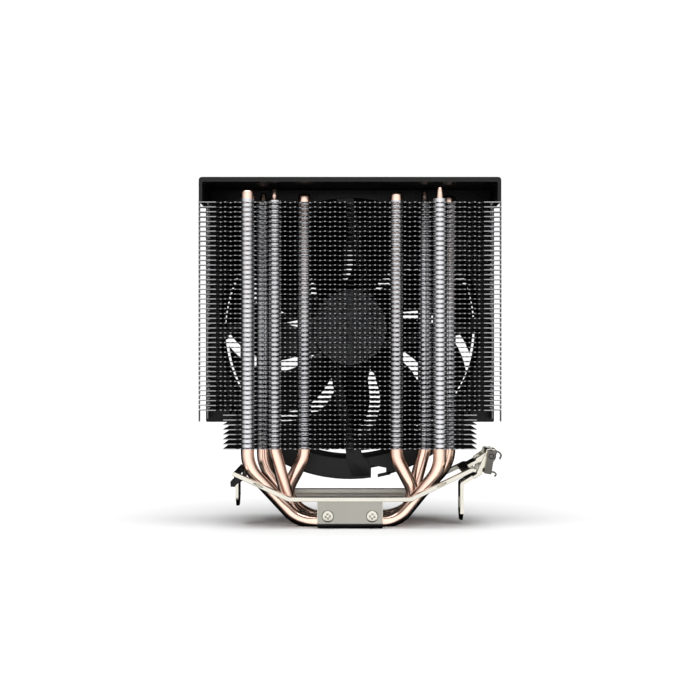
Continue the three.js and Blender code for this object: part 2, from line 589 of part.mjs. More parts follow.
// ---------------------------------------------------------------- fan rotor
function blade(index) {
  const geometry = new THREE.BoxGeometry(1, 1, 1, 2, 1, 3);
  const position = geometry.attributes.position;
  const root = HUB_RADIUS - HUB_WALL / 2;
  for (let i = 0; i < position.count; i++) {
    const chord = position.getX(i);
    const across = position.getY(i);
    const span = position.getZ(i) + 0.5;
    const radius = root + span * (BLADE_TIP_RADIUS - root);
    const beyond = radius - BLADE_SWEEP_RADIUS;
    const sweep = BLADE_SWEEP * beyond + BLADE_SWEEP_GROWTH * beyond * Math.abs(beyond);
    const centre = BLADE_START + (index * 360) / BLADE_COUNT - sweep;
    const [x, z] = polar(radius, centre - chord * BLADE_SPREAD);
    const pitch = 15 - 3 * span;
    const thickness = 2.2 - 0.9 * span;
    const camber = 1.6 * (1 - 4 * chord * chord);
    position.setXYZ(i, x, BLADE_MIDDLE_Y + chord * pitch + camber + across * thickness, z);
  }
  return geometry;
}

function fanRotor() {
  const [y0, y1] = HUB_Y;
  const inner = HUB_RADIUS - HUB_WALL;
  const face = y1 - 1.6;
  const cup = turned([
    [0, 39.6], [3, 39.6], [3, face], [inner, face], [inner, y0], [HUB_RADIUS, y0],
    [HUB_RADIUS, y1 - 1.2], [HUB_RADIUS - 1.2, y1], [0, y1],
  ], 28);
  const blades = Array.from({ length: BLADE_COUNT }, (_, i) => blade(i));
  const shaftHole = discY(SHAFT_RADIUS + GAP, [30, 42.4], 10);
  return cut(join(cup, ...blades), shaftHole).translate(0, 0, FAN_Z);
}
addPart('fan_rotor', fanRotor(), FAN_PLASTIC);
addPart('rotor_magnet', ringY(13.7, 15.6, [28, 40], 16, 0, FAN_Z), MAGNET);
addPart('rotor_shaft', turned([
  [0, 25.2], [1.5, 25.2], [1.5, 26], [1, 26], [1, 26.8], [1.5, 26.8], [1.5, 42.1], [0, 42.1],
], 10, 0, FAN_Z), SCREW_STEEL);

// ---------------------------------------------------------------- motor inside the hub
addPart('bearing_sleeve', ringY(1.8, 2.9, [27.6, 36], 12, 0, FAN_Z), BRONZE);
addPart('shaft_retaining_clip', ringY(1.3, 2.6, [26.15, 26.65], 10, 0, FAN_Z), SCREW_STEEL);

const POLE_COUNT = 4;
const STATOR_Y = [29.5, 34.5];

function statorCore() {
  const shoe = outline([[-6.1, 10.1], [6.1, 10.1], [5.6, 11.6], [2, 12.7], [-2, 12.7], [-5.6, 11.6]]);
  const poles = Array.from({ length: POLE_COUNT }, (_, i) => join(
    box([-1.3, 1.3], STATOR_Y, [5.5, 11]),
    cut(prismY(shoe, ...STATOR_Y), box([-4, 4], [0, 60], [9, 11.3])),
    box([-1.3, 1.3], STATOR_Y, [10, 12]),
  ).rotateY((i * Math.PI) / 2 + Math.PI / 4));
  return join(ringY(4.65, 6.4, STATOR_Y, 12), ...poles).translate(0, 0, FAN_Z);
}
addPart('stator_core', statorCore(), LAMINATION);

function statorCoil(index) {
  const coil = cut(
    box([-3.2, 3.2], [STATOR_Y[0] - 1.9, STATOR_Y[1] + 1.9], [6.9, 10.9]),
    box([-1.65, 1.65], [STATOR_Y[0] - 0.35, STATOR_Y[1] + 0.35], [0, 20]));
  return coil.rotateY((index * Math.PI) / 2 + Math.PI / 4).translate(0, 0, FAN_Z);
}
for (let i = 0; i < POLE_COUNT; i++) addPart(`stator_coil_${i + 1}`, statorCoil(i), WINDING);

addPart('circuit_board', ringY(4.7, 14.5, [24.6, 25.8], 16, 0, FAN_Z), BOARD);
addPart('motor_label', discY(MOTOR_BASE_RADIUS - 0.5, [FRAME_Y[0] - 0.75, FRAME_Y[0] - GAP], 20, 0, FAN_Z), LABEL);

export default cooler;
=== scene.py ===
import math

import bmesh
import bpy
from mathutils import Matrix, Vector


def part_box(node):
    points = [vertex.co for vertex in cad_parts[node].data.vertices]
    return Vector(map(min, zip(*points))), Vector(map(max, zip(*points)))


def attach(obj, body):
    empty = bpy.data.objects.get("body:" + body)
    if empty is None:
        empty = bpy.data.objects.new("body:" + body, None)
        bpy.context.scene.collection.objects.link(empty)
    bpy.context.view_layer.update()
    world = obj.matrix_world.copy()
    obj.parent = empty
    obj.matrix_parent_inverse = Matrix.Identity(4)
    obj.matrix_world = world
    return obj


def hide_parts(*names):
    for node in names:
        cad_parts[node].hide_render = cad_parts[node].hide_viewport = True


# Looks of the CPU tower cooler. Lengths are millimetres until a mesh is made, and +Y points to the fan.
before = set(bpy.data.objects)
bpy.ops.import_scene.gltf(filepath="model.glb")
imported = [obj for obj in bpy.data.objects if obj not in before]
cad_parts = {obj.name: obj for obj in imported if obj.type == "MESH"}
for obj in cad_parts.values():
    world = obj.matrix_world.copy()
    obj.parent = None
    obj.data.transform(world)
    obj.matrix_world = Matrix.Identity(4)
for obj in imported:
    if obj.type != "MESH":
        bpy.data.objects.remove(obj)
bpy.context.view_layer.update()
MM = 0.001


def box_of(node):
    """Lowest and highest corner of a CAD node, in millimetres."""
    low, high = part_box(node)
    return low / MM, high / MM


# ------------------------------------------------------------------ driving sizes
CAMERA_PLACE = (0, -759, 79)
CAMERA_LENS = 85.47
CAMERA_SENSOR = 36

COVER_LOW, COVER_HIGH = box_of("top_cover")
BRACKET_LOW, BRACKET_HIGH = box_of("fan_bracket")
FRAME_LOW, FRAME_HIGH = box_of("fan_frame")
BASE_LOW, BASE_HIGH = box_of("base_block")
# beyond every piece, for the bodies that trim or cut right through
FAR = 80

FIN_COUNT = 52
WIDE_FIN_COUNT = 44
FIN_PITCH = 2.157
FIN_THICKNESS = 0.4
FIN_TOP_Z = box_of("fin_pair_01")[1].z - FIN_THICKNESS / 2
FIN_HALF_DEPTH = box_of("fin_pair_01")[1].y
FRONT_EAR_HALF = box_of("fin_pair_01")[1].x
REAR_EAR_HALF = 66.4
WIDE_HALF = 64.5
NARROW_HALF = box_of("fin_pair_26")[1].x
EAR_DEPTH = 5

PIPE_RADIUS = 3
PIPE_ROWS = (-13.5, -4.5, 4.5, 13.5)
PIPE_RUN_Z = 2.3
PIPE_FLAT_HEIGHT = 4.6
PIPE_FLAT_WIDTH = 7
PIPE_FLAT_END = 15
PIPE_ROUND_START = 21
DOME_TOP_Z = 150.8
CONE_TOP_Z = 152.1
# x of the leg, height of its knee, x where the slope meets the run, radii of the knee and of the run's bend
OUTER_LEG = (46, 26.6, 23.4, 16, 14)
STEEP_LEG = (40.3, 25.5, 21.5, 16, 12.5)
MIDDLE_LEG = (34.3, 33.8, 25.8, 12, 10)
INNER_LEG = (21, 30.1, 35.6, 14, 11)
# node, left leg, right leg, side of the domed end
PIPES = (
    ("heat_pipe_a", OUTER_LEG, STEEP_LEG, -1),
    ("heat_pipe_b", MIDDLE_LEG, INNER_LEG, 1),
    ("heat_pipe_c", INNER_LEG, MIDDLE_LEG, -1),
    ("heat_pipe_d", STEEP_LEG, OUTER_LEG, 1),
)
LEGS = [(side * leg[0], PIPE_ROWS[row])
        for row, (_, left, right, _) in enumerate(PIPES)
        for side, leg in ((-1, left), (1, right))]

STEEL = 1.5
ARM_STEEL = 1.9
ARM_Z = 12.9
ARM_FLAT_HALF = 27
ARM_WIDTH = 5.5
CLIP_HALF_Y = 25.3
LEFT_END = (-51.8, 24.4)
RIGHT_END = (53.9, 25.9)
CLIP_SCREW_X = 9.8
CLIP_SCREW_Z = 5.6
PIVOT = (63.4, 31.3)
PIN_RADIUS = 1.2
LEVER_HALF_Y = 14
LEVER_HEEL = (61.8, 23.4)
LEVER_CROWN = (63.5, 33.8)
LEVER_SLOT_Y = (7.7, 11.6)
LEVER_SLOT_Z = 25.2
TONGUE_HALF_Y = 9.5
HOOK_HALF_Y = 8
HOOK_LEG_X = 50.6
LEFT_LEG_X = -51.05

FAN_Z = 89.3
RING_INNER = 60.2
RING_OUTER = 71
MOTOR_BASE_RADIUS = 17.7
HUB_RADIUS = 17.6
BLADE_COUNT = 9
BLADE_TIP_RADIUS = 58.8
FAN_SCREW_RADIUS = 66.5
FAN_SCREW_ANGLE = 35

# ------------------------------------------------------------------ materials


def new_material(name, colour, metallic, roughness):
    """A Principled material with its texture coordinates in object space, in metres."""
    material = bpy.data.materials.new(name)
    material.use_nodes = True
    nodes = material.node_tree.nodes
    shader = nodes["Principled BSDF"]
    shader.inputs["Base Color"].default_value = (*colour, 1)
    shader.inputs["Metallic"].default_value = metallic
    shader.inputs["Roughness"].default_value = roughness
    coordinates = nodes.new("ShaderNodeTexCoord")
    return material, shader, coordinates.outputs["Object"]


def noise(material, coordinates, scale, stretch=(1, 1, 1), detail=4):
    """Noise that may be drawn out along an axis; returns its output socket."""
    nodes, links = material.node_tree.nodes, material.node_tree.links
    mapping = nodes.new("ShaderNodeMapping")
    mapping.inputs["Scale"].default_value = stretch
    texture = nodes.new("ShaderNodeTexNoise")
    texture.inputs["Scale"].default_value = scale
    texture.inputs["Detail"].default_value = detail
    links.new(coordinates, mapping.inputs["Vector"])
    links.new(mapping.outputs["Vector"], texture.inputs["Vector"])
    return texture.outputs["Fac"]


def vary(material, socket, source, low, high):
    """Drives a number socket between two values from a 0..1 source."""
    nodes, links = material.node_tree.nodes, material.node_tree.links
    spread = nodes.new("ShaderNodeMapRange")
    spread.inputs["From Min"].default_value = 0.3
    spread.inputs["From Max"].default_value = 0.7
    spread.inputs["To Min"].default_value = low
    spread.inputs["To Max"].default_value = high
    links.new(source, spread.inputs["Value"])
    links.new(spread.outputs["Result"], socket)


def tint(material, shader, source, first, second):
    """Mixes the base colour between two colours."""
    nodes, links = material.node_tree.nodes, material.node_tree.links
    ramp = nodes.new("ShaderNodeValToRGB")
    ramp.color_ramp.elements[0].position = 0.32
    ramp.color_ramp.elements[0].color = (*first, 1)
    ramp.color_ramp.elements[1].position = 0.68
    ramp.color_ramp.elements[1].color = (*second, 1)
    links.new(source, ramp.inputs["Fac"])
    links.new(ramp.outputs["Color"], shader.inputs["Base Color"])


def relief(material, shader, source, strength, distance):
    """Bump from a 0..1 source, distance in metres."""
    nodes, links = material.node_tree.nodes, material.node_tree.links
    bump = nodes.new("ShaderNodeBump")
    bump.inputs["Strength"].default_value = strength
    bump.inputs["Distance"].default_value = distance
    links.new(source, bump.inputs["Height"])
    links.new(bump.outputs["Normal"], shader.inputs["Normal"])


def surface(name, colour, metallic, roughness, shade=0.85, spread=0.06, grain=1500, stretch=(1, 1, 1),
            bump=0.15, depth=0.00002, specular=None):
    """A finish with cloudy colour, uneven gloss and a fine grain."""
    material, shader, coordinates = new_material(name, colour, metallic, roughness)
    clouds = noise(material, coordinates, 90)
    fine = noise(material, coordinates, grain, stretch)
    tint(material, shader, clouds, tuple(c * shade for c in colour), colour)
    vary(material, shader.inputs["Roughness"], fine, max(roughness - spread, 0.02), roughness + spread)
    relief(material, shader, fine, bump, depth)
    if specular is not None:
        shader.inputs["Specular IOR Level"].default_value = specular
    return material


FIN_FACE = surface("fin_face", (0.8, 0.8, 0.81), 1, 0.08, spread=0.03, stretch=(0.05, 1, 1), bump=0.02)
FIN_EDGE = surface("fin_cut_edge", (0.23, 0.23, 0.235), 1, 0.42, stretch=(1, 1, 8), bump=0.3)
# lighter steel for fin edge faces turned to the front and back: a painted highlight
FIN_TIP_PAINTED_HIGHLIGHT = surface("fin_tooth_tip_painted_highlight", (0.36, 0.36, 0.37), 1, 0.35, stretch=(1, 1, 8), bump=0.2)
COLLAR = surface("fin_collar", (0.64, 0.64, 0.66), 1, 0.24, shade=0.88, stretch=(1, 1, 6))
COPPER = surface("copper_pipe", (0.98, 0.69, 0.57), 1, 0.22, shade=0.93, spread=0.04, stretch=(1, 1, 0.08),
                 bump=0.08)
# the base block's metal is dark grey all over: painted shade for the shadowed band along its foot
BASE_METAL_PAINTED_SHADE = surface("base_aluminium_painted_shade", (0.22, 0.22, 0.225), 1, 0.3, stretch=(0.03, 1, 1), bump=0.3)
SPRING_STEEL = surface("nickel_spring_steel", (0.62, 0.595, 0.525), 1, 0.2, shade=0.93, spread=0.04,
                       bump=0.06)
# black steel: the fan screws' own colour, and painted shade on the left hook's head and top
BLACK_SCREW_STEEL_AND_PAINTED_SHADE = surface("black_screw_steel_and_hook_painted_shade", (0.02, 0.02, 0.02), 1, 0.3, shade=0.85, bump=0.1)
# a darker copy of the clip's steel for the flange's front face: painted shade
FLANGE_STEEL_PAINTED_SHADE = surface("flange_painted_shade_steel", (0.32, 0.31, 0.275), 1, 0.25, shade=0.95, spread=0.03,
                       stretch=(1, 1, 0.1), bump=0.1)
# a brighter, nearly unmetallic copy of the clip's steel for what is seen of the rear arm and lip: painted
# light
LIP_STEEL_PAINTED_LIGHT = surface("rear_lip_painted_light_steel", (0.95, 0.92, 0.82), 0.1, 0.4, shade=0.93, bump=0.06)
SCREW_STEEL = surface("nickel_screw", (0.64, 0.62, 0.55), 1, 0.22, shade=0.9, bump=0.1)
LEVER_METAL = surface("lever_metal", (0.125, 0.12, 0.108), 1, 0.35, shade=0.85, bump=0.2)
# a light olive copy of the lever's metal for its faces turned towards -X: painted light
LEVER_SIDE_PAINTED_LIGHT = surface("lever_side_painted_light", (0.66, 0.66, 0.42), 1, 0.35, shade=0.85, bump=0.15)
COVER_PLASTIC = surface("cover_plastic", (0.009, 0.009, 0.0095), 0, 0.42, shade=0.8, grain=2600, bump=0.35,
                        depth=0.00004, specular=0.22)
FAN_PLASTIC = surface("fan_plastic", (0.012, 0.012, 0.013), 0, 0.4, shade=0.8, grain=2200, bump=0.2,
                      depth=0.00003, specular=0.3)
LABEL = surface("blank_label", (0.85, 0.85, 0.86), 0, 0.4, shade=0.95, bump=0.05)
MAGNET = surface("ferrite_magnet", (0.05, 0.047, 0.045), 0.2, 0.7, grain=900, bump=0.4)
BRONZE = surface("sintered_bronze", (0.45, 0.28, 0.12), 1, 0.45, grain=2600, bump=0.5)
LAMINATION = surface("stator_lamination", (0.35, 0.35, 0.37), 1, 0.42, stretch=(0.2, 12, 0.2), bump=0.6)
WINDING = surface("enamelled_winding", (0.5, 0.17, 0.06), 0.8, 0.35, grain=900, stretch=(0.1, 1, 6), bump=0.8,
                  depth=0.0001)
BOARD = surface("board_mask", (0.02, 0.12, 0.05), 0, 0.4, bump=0.1)

# ------------------------------------------------------------------ outlines


def polar(radius, degrees):
    angle = math.radians(degrees)
    return radius * math.cos(angle), radius * math.sin(angle)


def circle(radius, count, x=0.0, y=0.0):
    return [(x + u, y + v) for u, v in (polar(radius, 360 * i / count) for i in range(count))]


def fillet(points, radius, closed=True, steps=5):
    """The outline with each corner turned into an arc, where there is room for it."""
    corners = [Vector(p) for p in points]
    rounded = []
    for i, corner in enumerate(corners):
        if not closed and i in (0, len(corners) - 1):
            rounded.append(corner)
            continue
        before, after = corners[i - 1], corners[(i + 1) % len(corners)]
        into, out = (corner - before), (after - corner)
        turn = into.angle(out)
        if turn < 0.05:
            rounded.append(corner)
            continue
        setback = min(radius * math.tan(turn / 2), 0.45 * into.length, 0.45 * out.length)
        start, end = corner - into.normalized() * setback, corner + out.normalized() * setback
        for k in range(steps + 1):
            t = k / steps
            rounded.append((1 - t) ** 2 * start + 2 * t * (1 - t) * corner + t * t * end)
    return [tuple(p) for p in rounded]


def strip(line, thickness, bend=1.2, steps=5):
    """Outline of sheet metal of one thickness along a centre line with rounded bends."""
    path = [Vector(p) for p in fillet(line, bend, closed=False, steps=steps)]
    left, right = [], []
    for i, point in enumerate(path):
        into = (point - path[i - 1]).normalized() if i else (path[1] - point).normalized()
        out = (path[i + 1] - point).normalized() if i + 1 < len(path) else into
        along = (into + out).normalized()
        reach = thickness / 2 / max(along.dot(into), 0.5)
        normal = Vector((-along.y, along.x)) * reach
        left.append(tuple(point + normal))
        right.append(tuple(point - normal))
    return right + left[::-1]


# ------------------------------------------------------------------ mesh pieces
AXES = {
    "x": lambda u, v, w: (w, u, v),
    "y": lambda u, v, w: (u, w, v),
    "z": lambda u, v, w: (u, v, w),
}


def ring_faces(bm, first, second, material=0):
    """Quads between two rings of vertices."""
    for i in range(len(first)):
        face = bm.faces.new((first[i - 1], first[i], second[i], second[i - 1]))
        face.material_index = material


def prism(points, axis, low, high):
    """A closed body with one outline from low to high along an axis."""
    bm = bmesh.new()
    at = AXES[axis]
    bottom, top = [[bm.verts.new(at(u, v, w)) for u, v in points] for w in (low, high)]
    bm.faces.new(bottom)
    bm.faces.new(top)
    ring_faces(bm, bottom, top)
    return bm


def block(x, y, z):
    return prism([(x[0], y[0]), (x[1], y[0]), (x[1], y[1]), (x[0], y[1])], "z", *z)


def turned(profile, count=48, x=0.0, z=0.0, closed=False):
    """A body turned about the Y direction from [radius, y] points; a closed profile makes a ring."""
    bm = bmesh.new()
    rings = []
    for radius, y in profile:
        if radius == 0:
            rings.append([bm.verts.new((x, y, z))])
        else:
            rings.append([bm.verts.new((x + u, y, z + v)) for u, v in circle(radius, count)])
    pairs = list(zip(rings, rings[1:]))
    if closed:
        pairs.append((rings[-1], rings[0]))
    for first, second in pairs:
        if len(first) == 1 or len(second) == 1:
            point, ring = (first[0], second) if len(first) == 1 else (second[0], first)
            for i in range(count):
                bm.faces.new((point, ring[i - 1], ring[i]))
        else:
            ring_faces(bm, first, second)
    return bm


def disc(radius, y, count, x=0.0, z=0.0):
    """A plain round body along the Y direction, mostly to cut a hole with."""
    return turned([(0, y[0]), (radius, y[0]), (radius, y[1]), (0, y[1])], count, x, z)


def move(bm, matrix):
    bmesh.ops.transform(bm, matrix=matrix, verts=bm.verts)
    return bm


def about_fan(bm, degrees):
    """Turns a body about the fan's axis; a positive angle goes from +X towards +Z."""
    centre = Matrix.Translation((0, 0, FAN_Z))
    return move(bm, centre @ Matrix.Rotation(math.radians(-degrees), 4, "Y") @ centre.inverted())


def to_object(name, bm, materials, sharp=32):
    """Turns a bmesh in millimetres into an object in metres."""
    bmesh.ops.recalc_face_normals(bm, faces=bm.faces)
    bmesh.ops.scale(bm, vec=(MM, MM, MM), verts=bm.verts)
    mesh = bpy.data.meshes.new(name)
    bm.to_mesh(mesh)
    bm.free()
    for material in materials:
        mesh.materials.append(material)
    smooth(mesh, sharp)
    thing = bpy.data.objects.new(name, mesh)
    bpy.context.scene.collection.objects.link(thing)
    return thing


def smooth(mesh, degrees):
    mesh.shade_smooth()
    mesh.set_sharp_from_angle(angle=math.radians(degrees))


def bake(thing):
    """Replaces an object's mesh by what its modifiers make of it."""
    bpy.context.view_layer.update()
    graph = bpy.context.evaluated_depsgraph_get()
    mesh = bpy.data.meshes.new_from_object(thing.evaluated_get(graph))
    thing.modifiers.clear()
    thing.data = mesh
    return thing


def soften(thing, width, segments=2, degrees=35):
    """Rounds the edges that are sharper than an angle."""
    bevel = thing.modifiers.new("edges", "BEVEL")
    bevel.width = width * MM
    bevel.segments = segments
    bevel.limit_method = "ANGLE"
    bevel.angle_limit = math.radians(degrees)
    bevel.use_clamp_overlap = True
    return bake(thing)


def combine(operation, thing, *bodies):
    """Joins bodies to an object, or cuts them out of it."""
    for bm in bodies:
        tool = bm if isinstance(bm, bpy.types.Object) else to_object("tool", bm, [])
        modifier = thing.modifiers.new("combine", "BOOLEAN")
        modifier.operation = operation
        modifier.solver = "EXACT"
        modifier.object = tool
        bake(thing)
        bpy.data.objects.remove(tool)
    smooth(thing.data, 32)
    return thing


def join(thing, *bodies):
    return combine("UNION", thing, *bodies)


def cut(thing, *bodies):
    return combine("DIFFERENCE", thing, *bodies)


def crisp(thing):
    """Keeps flat faces evenly lit up to their rounded edges."""
    thing.modifiers.new("even_normals", "WEIGHTED_NORMAL").keep_sharp = True
    return bake(thing)


def finished(thing, body, slot, *nodes):
    """Puts a piece on its body and hides the CAD nodes that it stands for; the slot is not used."""
    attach(thing, body)
    if nodes:
        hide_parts(*nodes)
    return thing


# ------------------------------------------------------------------ fins
TOOTH_PITCH = 4.45
TOOTH_DEPTH = 3
TOOTH_DEPTH_AT_PIPE = 1.3
TOOTH_TIP = 0.35
NOTCH_HALF = 1.9
NOTCH_DEPTH = 6
COLLAR_SIDES = 24
# radius and height above the middle of the fin, up the outside of the collar and down its inside
COLLAR_PROFILE = (
    (3.32, 0.24), (3.18, 0.36), (3.14, 0.6), (3.13, 1.6), (3.17, 1.84), (3.15, 1.92),
    (3.03, 1.92), (3.03, 0.4), (3.1, 0.05),
)
COLLAR_ROOT = 3.55


def toothed_edge(half, row_y):
    """Right half of a fin's front edge, from the middle outwards, as (x, depth below the edge)."""
    points = [(NOTCH_HALF * math.sin(a), NOTCH_DEPTH * math.cos(a))
              for a in (math.radians(15 * k) for k in range(6))]
    points = [(x, d) for x, d in points if d > 0.5] + [(NOTCH_HALF, 0)]
    tooth = 0
    while (tooth + 1.6) * TOOTH_PITCH < half - 3:
        peak = (tooth + 0.5) * TOOTH_PITCH
        valley = (tooth + 1) * TOOTH_PITCH
        depth = TOOTH_DEPTH
        if any(abs(abs(x) - valley) < 5 for x, y in LEGS if y == row_y):
            depth = TOOTH_DEPTH_AT_PIPE
        if tooth:
            points.append((peak - TOOTH_TIP, 0))
        points += [(peak + TOOTH_TIP, 0), (valley - TOOTH_TIP, depth), (valley + TOOTH_TIP, depth)]
        tooth += 1
    points.append(((tooth + 0.5) * TOOTH_PITCH - TOOTH_TIP, 0))
    return points


def fin_outline(wide):
    """The whole outline, drawn from its right half of the front and of the rear."""
    deep = FIN_HALF_DEPTH
    ear = deep - EAR_DEPTH
    half = WIDE_HALF if wide else NARROW_HALF
    front = [(x, -deep + d) for x, d in toothed_edge(half, PIPE_ROWS[0])]
    rear = [(x, deep - d) for x, d in toothed_edge(half, PIPE_ROWS[3])]
    if wide:
        side = [(FRONT_EAR_HALF - 0.2, -deep), (FRONT_EAR_HALF - 0.2, -ear), (WIDE_HALF + 0.7, -ear),
                (WIDE_HALF, -ear + 0.9), (WIDE_HALF, ear - 0.9), (WIDE_HALF + 0.7, ear),
                (REAR_EAR_HALF - 0.2, ear), (REAR_EAR_HALF - 0.2, deep)]
    else:
        side = [(NARROW_HALF, -deep), (NARROW_HALF, deep)]
    right = front + side + rear[::-1]
    left = [(-x, y) for x, y in right[::-1] if x > 0.01]
    return right + left


def fin_mesh(name, wide, tab_pitches):
    bm = bmesh.new()
    half = FIN_THICKNESS / 2
    outline = fin_outline(wide)
    holes = [circle(COLLAR_ROOT, COLLAR_SIDES, x, y) for x, y in LEGS]
    sides = []
    for z in (half, -half):
        loops = [[bm.verts.new((x, y, z)) for x, y in loop] for loop in (outline, *holes)]
        edges = [bm.edges.new((loop[i - 1], loop[i])) for loop in loops for i in range(len(loop))]
        bmesh.ops.triangle_fill(bm, use_beauty=True, use_dissolve=False, edges=edges)
        sides.append(loops)
    top, bottom = sides
    ring_faces(bm, top[0], bottom[0], 1)
    bm.normal_update()
    # edge faces turned straight to the front or back take the lighter steel, a painted highlight
    for face in bm.faces:
        if face.material_index == 1 and abs(face.normal.y) > 0.98:
            face.material_index = 3
    for hole, (x, y) in enumerate(LEGS):
        rings = [top[hole + 1]]
        rings += [[bm.verts.new((u, v, z)) for u, v in circle(radius, COLLAR_SIDES, x, y)]
                  for radius, z in COLLAR_PROFILE]
        rings.append(bottom[hole + 1])
        for first, second in zip(rings, rings[1:]):
            ring_faces(bm, first, second, 2)
    if tab_pitches:
        drop = half - tab_pitches * FIN_PITCH + 0.35
        for ear, y in ((FRONT_EAR_HALF, -FIN_HALF_DEPTH), (REAR_EAR_HALF, FIN_HALF_DEPTH - EAR_DEPTH)):
            for side in (-1, 1):
                x = sorted((side * ear, side * (ear - FIN_THICKNESS)))
                tab = block(x, (y, y + EAR_DEPTH), (drop, half))
                for face in tab.faces:
                    face.material_index = 1
                scrap = bpy.data.meshes.new("tab")
                tab.to_mesh(scrap)
                bm.from_mesh(scrap)
                tab.free()
                bpy.data.meshes.remove(scrap)
    thing = to_object(name, bm, (FIN_FACE, FIN_EDGE, COLLAR, FIN_TIP_PAINTED_HIGHLIGHT), sharp=40)
    mesh = thing.data
    bpy.data.objects.remove(thing)
    return mesh


def make_fins():
    wide = fin_mesh("wide_fin", True, 1)
    lowest_wide = fin_mesh("lowest_wide_fin", True, 2.6)
    narrow = fin_mesh("narrow_fin", False, 0)
    for index in range(FIN_COUNT):
        mesh = wide if index < WIDE_FIN_COUNT - 1 else lowest_wide if index < WIDE_FIN_COUNT else narrow
        fin = bpy.data.objects.new(f"fin_{index + 1:02d}", mesh)
        bpy.context.scene.collection.objects.link(fin)
        fin.location.z = (FIN_TOP_Z - index * FIN_PITCH) * MM
        finished(fin, "heatsink", "fin", f"fin_pair_{index // 2 + 1:02d}")


make_fins()

# ------------------------------------------------------------------ heat pipes
PIPE_SIDES = 32
PIPE_FLAT_BELOW_Z = 12
PIPE_SQUARENESS = 0.45
PIPE_LOWEST_Z = 0.02
BEND_STEPS = 14
DOME = ((0.35, 0), (0.62, 0.12), (0.82, 0.4), (0.94, 0.85), (1, 1.6), (1, 4))
CONE = ((0.16, 0), (0.31, 0.12), (0.38, 0.5), (0.5, 3), (0.66, 5.6), (0.88, 6.6), (1, 8))


def arc(before, corner, after, radius):
    """Points and directions along a bend that rounds off a corner, in the XZ plane."""
    into, out = (corner - before).normalized(), (after - corner).normalized()
    turn = into.angle(out)
    setback = radius * math.tan(turn / 2)
    bend = 1 if into.cross(out) > 0 else -1
    centre = corner - into * setback + Vector((-into.y, into.x)) * radius * bend
    stations = []
    for k in range(BEND_STEPS + 1):
        spin = Matrix.Rotation(bend * turn * k / BEND_STEPS, 2)
        stations.append((centre + spin @ (corner - into * setback - centre), spin @ into))
    return stations


def leg_stations(leg, tip, tip_z):
    """Stations from a leg's tip to the middle of the run, with the leg at negative x."""
    x, knee_z, run_x, knee_radius, run_radius = leg
    top, knee = Vector((-x, tip_z)), Vector((-x, knee_z))
    foot, middle = Vector((-run_x, PIPE_RUN_Z)), Vector((0, PIPE_RUN_Z))
    stations = [(top - Vector((0, drop)), Vector((0, -1)), width) for width, drop in tip]
    stations += [(p, d, 1) for p, d in arc(top, knee, foot, knee_radius)]
    stations += [(p, d, 1) for p, d in arc(knee, foot, middle, run_radius)]
    stations += [(Vector((-u, PIPE_RUN_Z)), Vector((1, 0)), 1) for u in (PIPE_FLAT_END, 8)]
    return stations


def heat_pipe(name, left, right, dome_side, y):
    halves = []
    for side, leg in ((-1, left), (1, right)):
        domed = side == dome_side
        half = leg_stations(leg, DOME if domed else CONE, DOME_TOP_Z if domed else CONE_TOP_Z)
        if side > 0:
            half = [(Vector((-p.x, p.y)), Vector((d.x, -d.y)), w) for p, d, w in reversed(half)]
        halves += half
    bm = bmesh.new()
    rings = []
    for point, along, width in halves:
        normal = Vector((-along.y, along.x))
        share = (PIPE_ROUND_START - abs(point.x)) / (PIPE_ROUND_START - PIPE_FLAT_END)
        share = min(max(share, 0), 1) if point.y < PIPE_FLAT_BELOW_Z else 0
        flat = share * share * (3 - 2 * share)
        high = width * (PIPE_RADIUS + flat * (PIPE_FLAT_HEIGHT / 2 - PIPE_RADIUS))
        wide = width * (PIPE_RADIUS + flat * (PIPE_FLAT_WIDTH / 2 - PIPE_RADIUS))
        ring = []
        for k in range(PIPE_SIDES):
            c, s = math.cos(2 * math.pi * k / PIPE_SIDES), math.sin(2 * math.pi * k / PIPE_SIDES)
            power = 1 - PIPE_SQUARENESS * flat
            across = wide * math.copysign(abs(c) ** power, c)
            up = high * math.copysign(abs(s) ** power, s)
            place = point + normal * up
            ring.append(bm.verts.new((place.x, y + across, max(place.y, PIPE_LOWEST_Z))))
        rings.append(ring)
    for first, second in zip(rings, rings[1:]):
        ring_faces(bm, first, second)
    bm.faces.new(rings[0])
    bm.faces.new(rings[-1])
    pipe = to_object(name + "_tube", bm, [COPPER], sharp=60)
    finished(pipe, "heatsink", "pipe", name)


for row, (name, left, right, dome_side) in enumerate(PIPES):
    heat_pipe(name, left, right, dome_side, PIPE_ROWS[row])

# ------------------------------------------------------------------ base block
GROOVE_HALF = 3.9
GROOVE_TOP = 4.9
SLIT_PITCH = 5
SLIT_HALF = 0.7
SLIT_DEPTH = 0.8


def base_block():
    x, y = (BASE_LOW.x, BASE_HIGH.x), (BASE_LOW.y, BASE_HIGH.y)
    profile = [(y[0], 2), (y[0] + 0.9, 0), (y[1] - 0.9, 0), (y[1], 2), (y[1], BASE_HIGH.z),
               (y[0], BASE_HIGH.z)]
    # the whole base takes the dark grey metal, painted shade
    body = to_object("base_body", prism(profile, "x", *x), [BASE_METAL_PAINTED_SHADE])
    soften(body, 0.25)
    for row in PIPE_ROWS:
        groove = fillet([(row - GROOVE_HALF, -1), (row + GROOVE_HALF, -1), (row + GROOVE_HALF, GROOVE_TOP),
                         (row - GROOVE_HALF, GROOVE_TOP)], 1.8)
        cut(body, prism(groove, "x", x[0] - 1, x[1] + 1))
    # shallow cooling grooves milled across the top
    for k in range(-2, 3):
        slit = (k * SLIT_PITCH - SLIT_HALF, k * SLIT_PITCH + SLIT_HALF)
        cut(body, block(slit, (y[0] - 1, y[1] + 1), (BASE_HIGH.z - SLIT_DEPTH, BASE_HIGH.z + 1)))
    finished(body, "heatsink", "base", "base_block")


base_block()

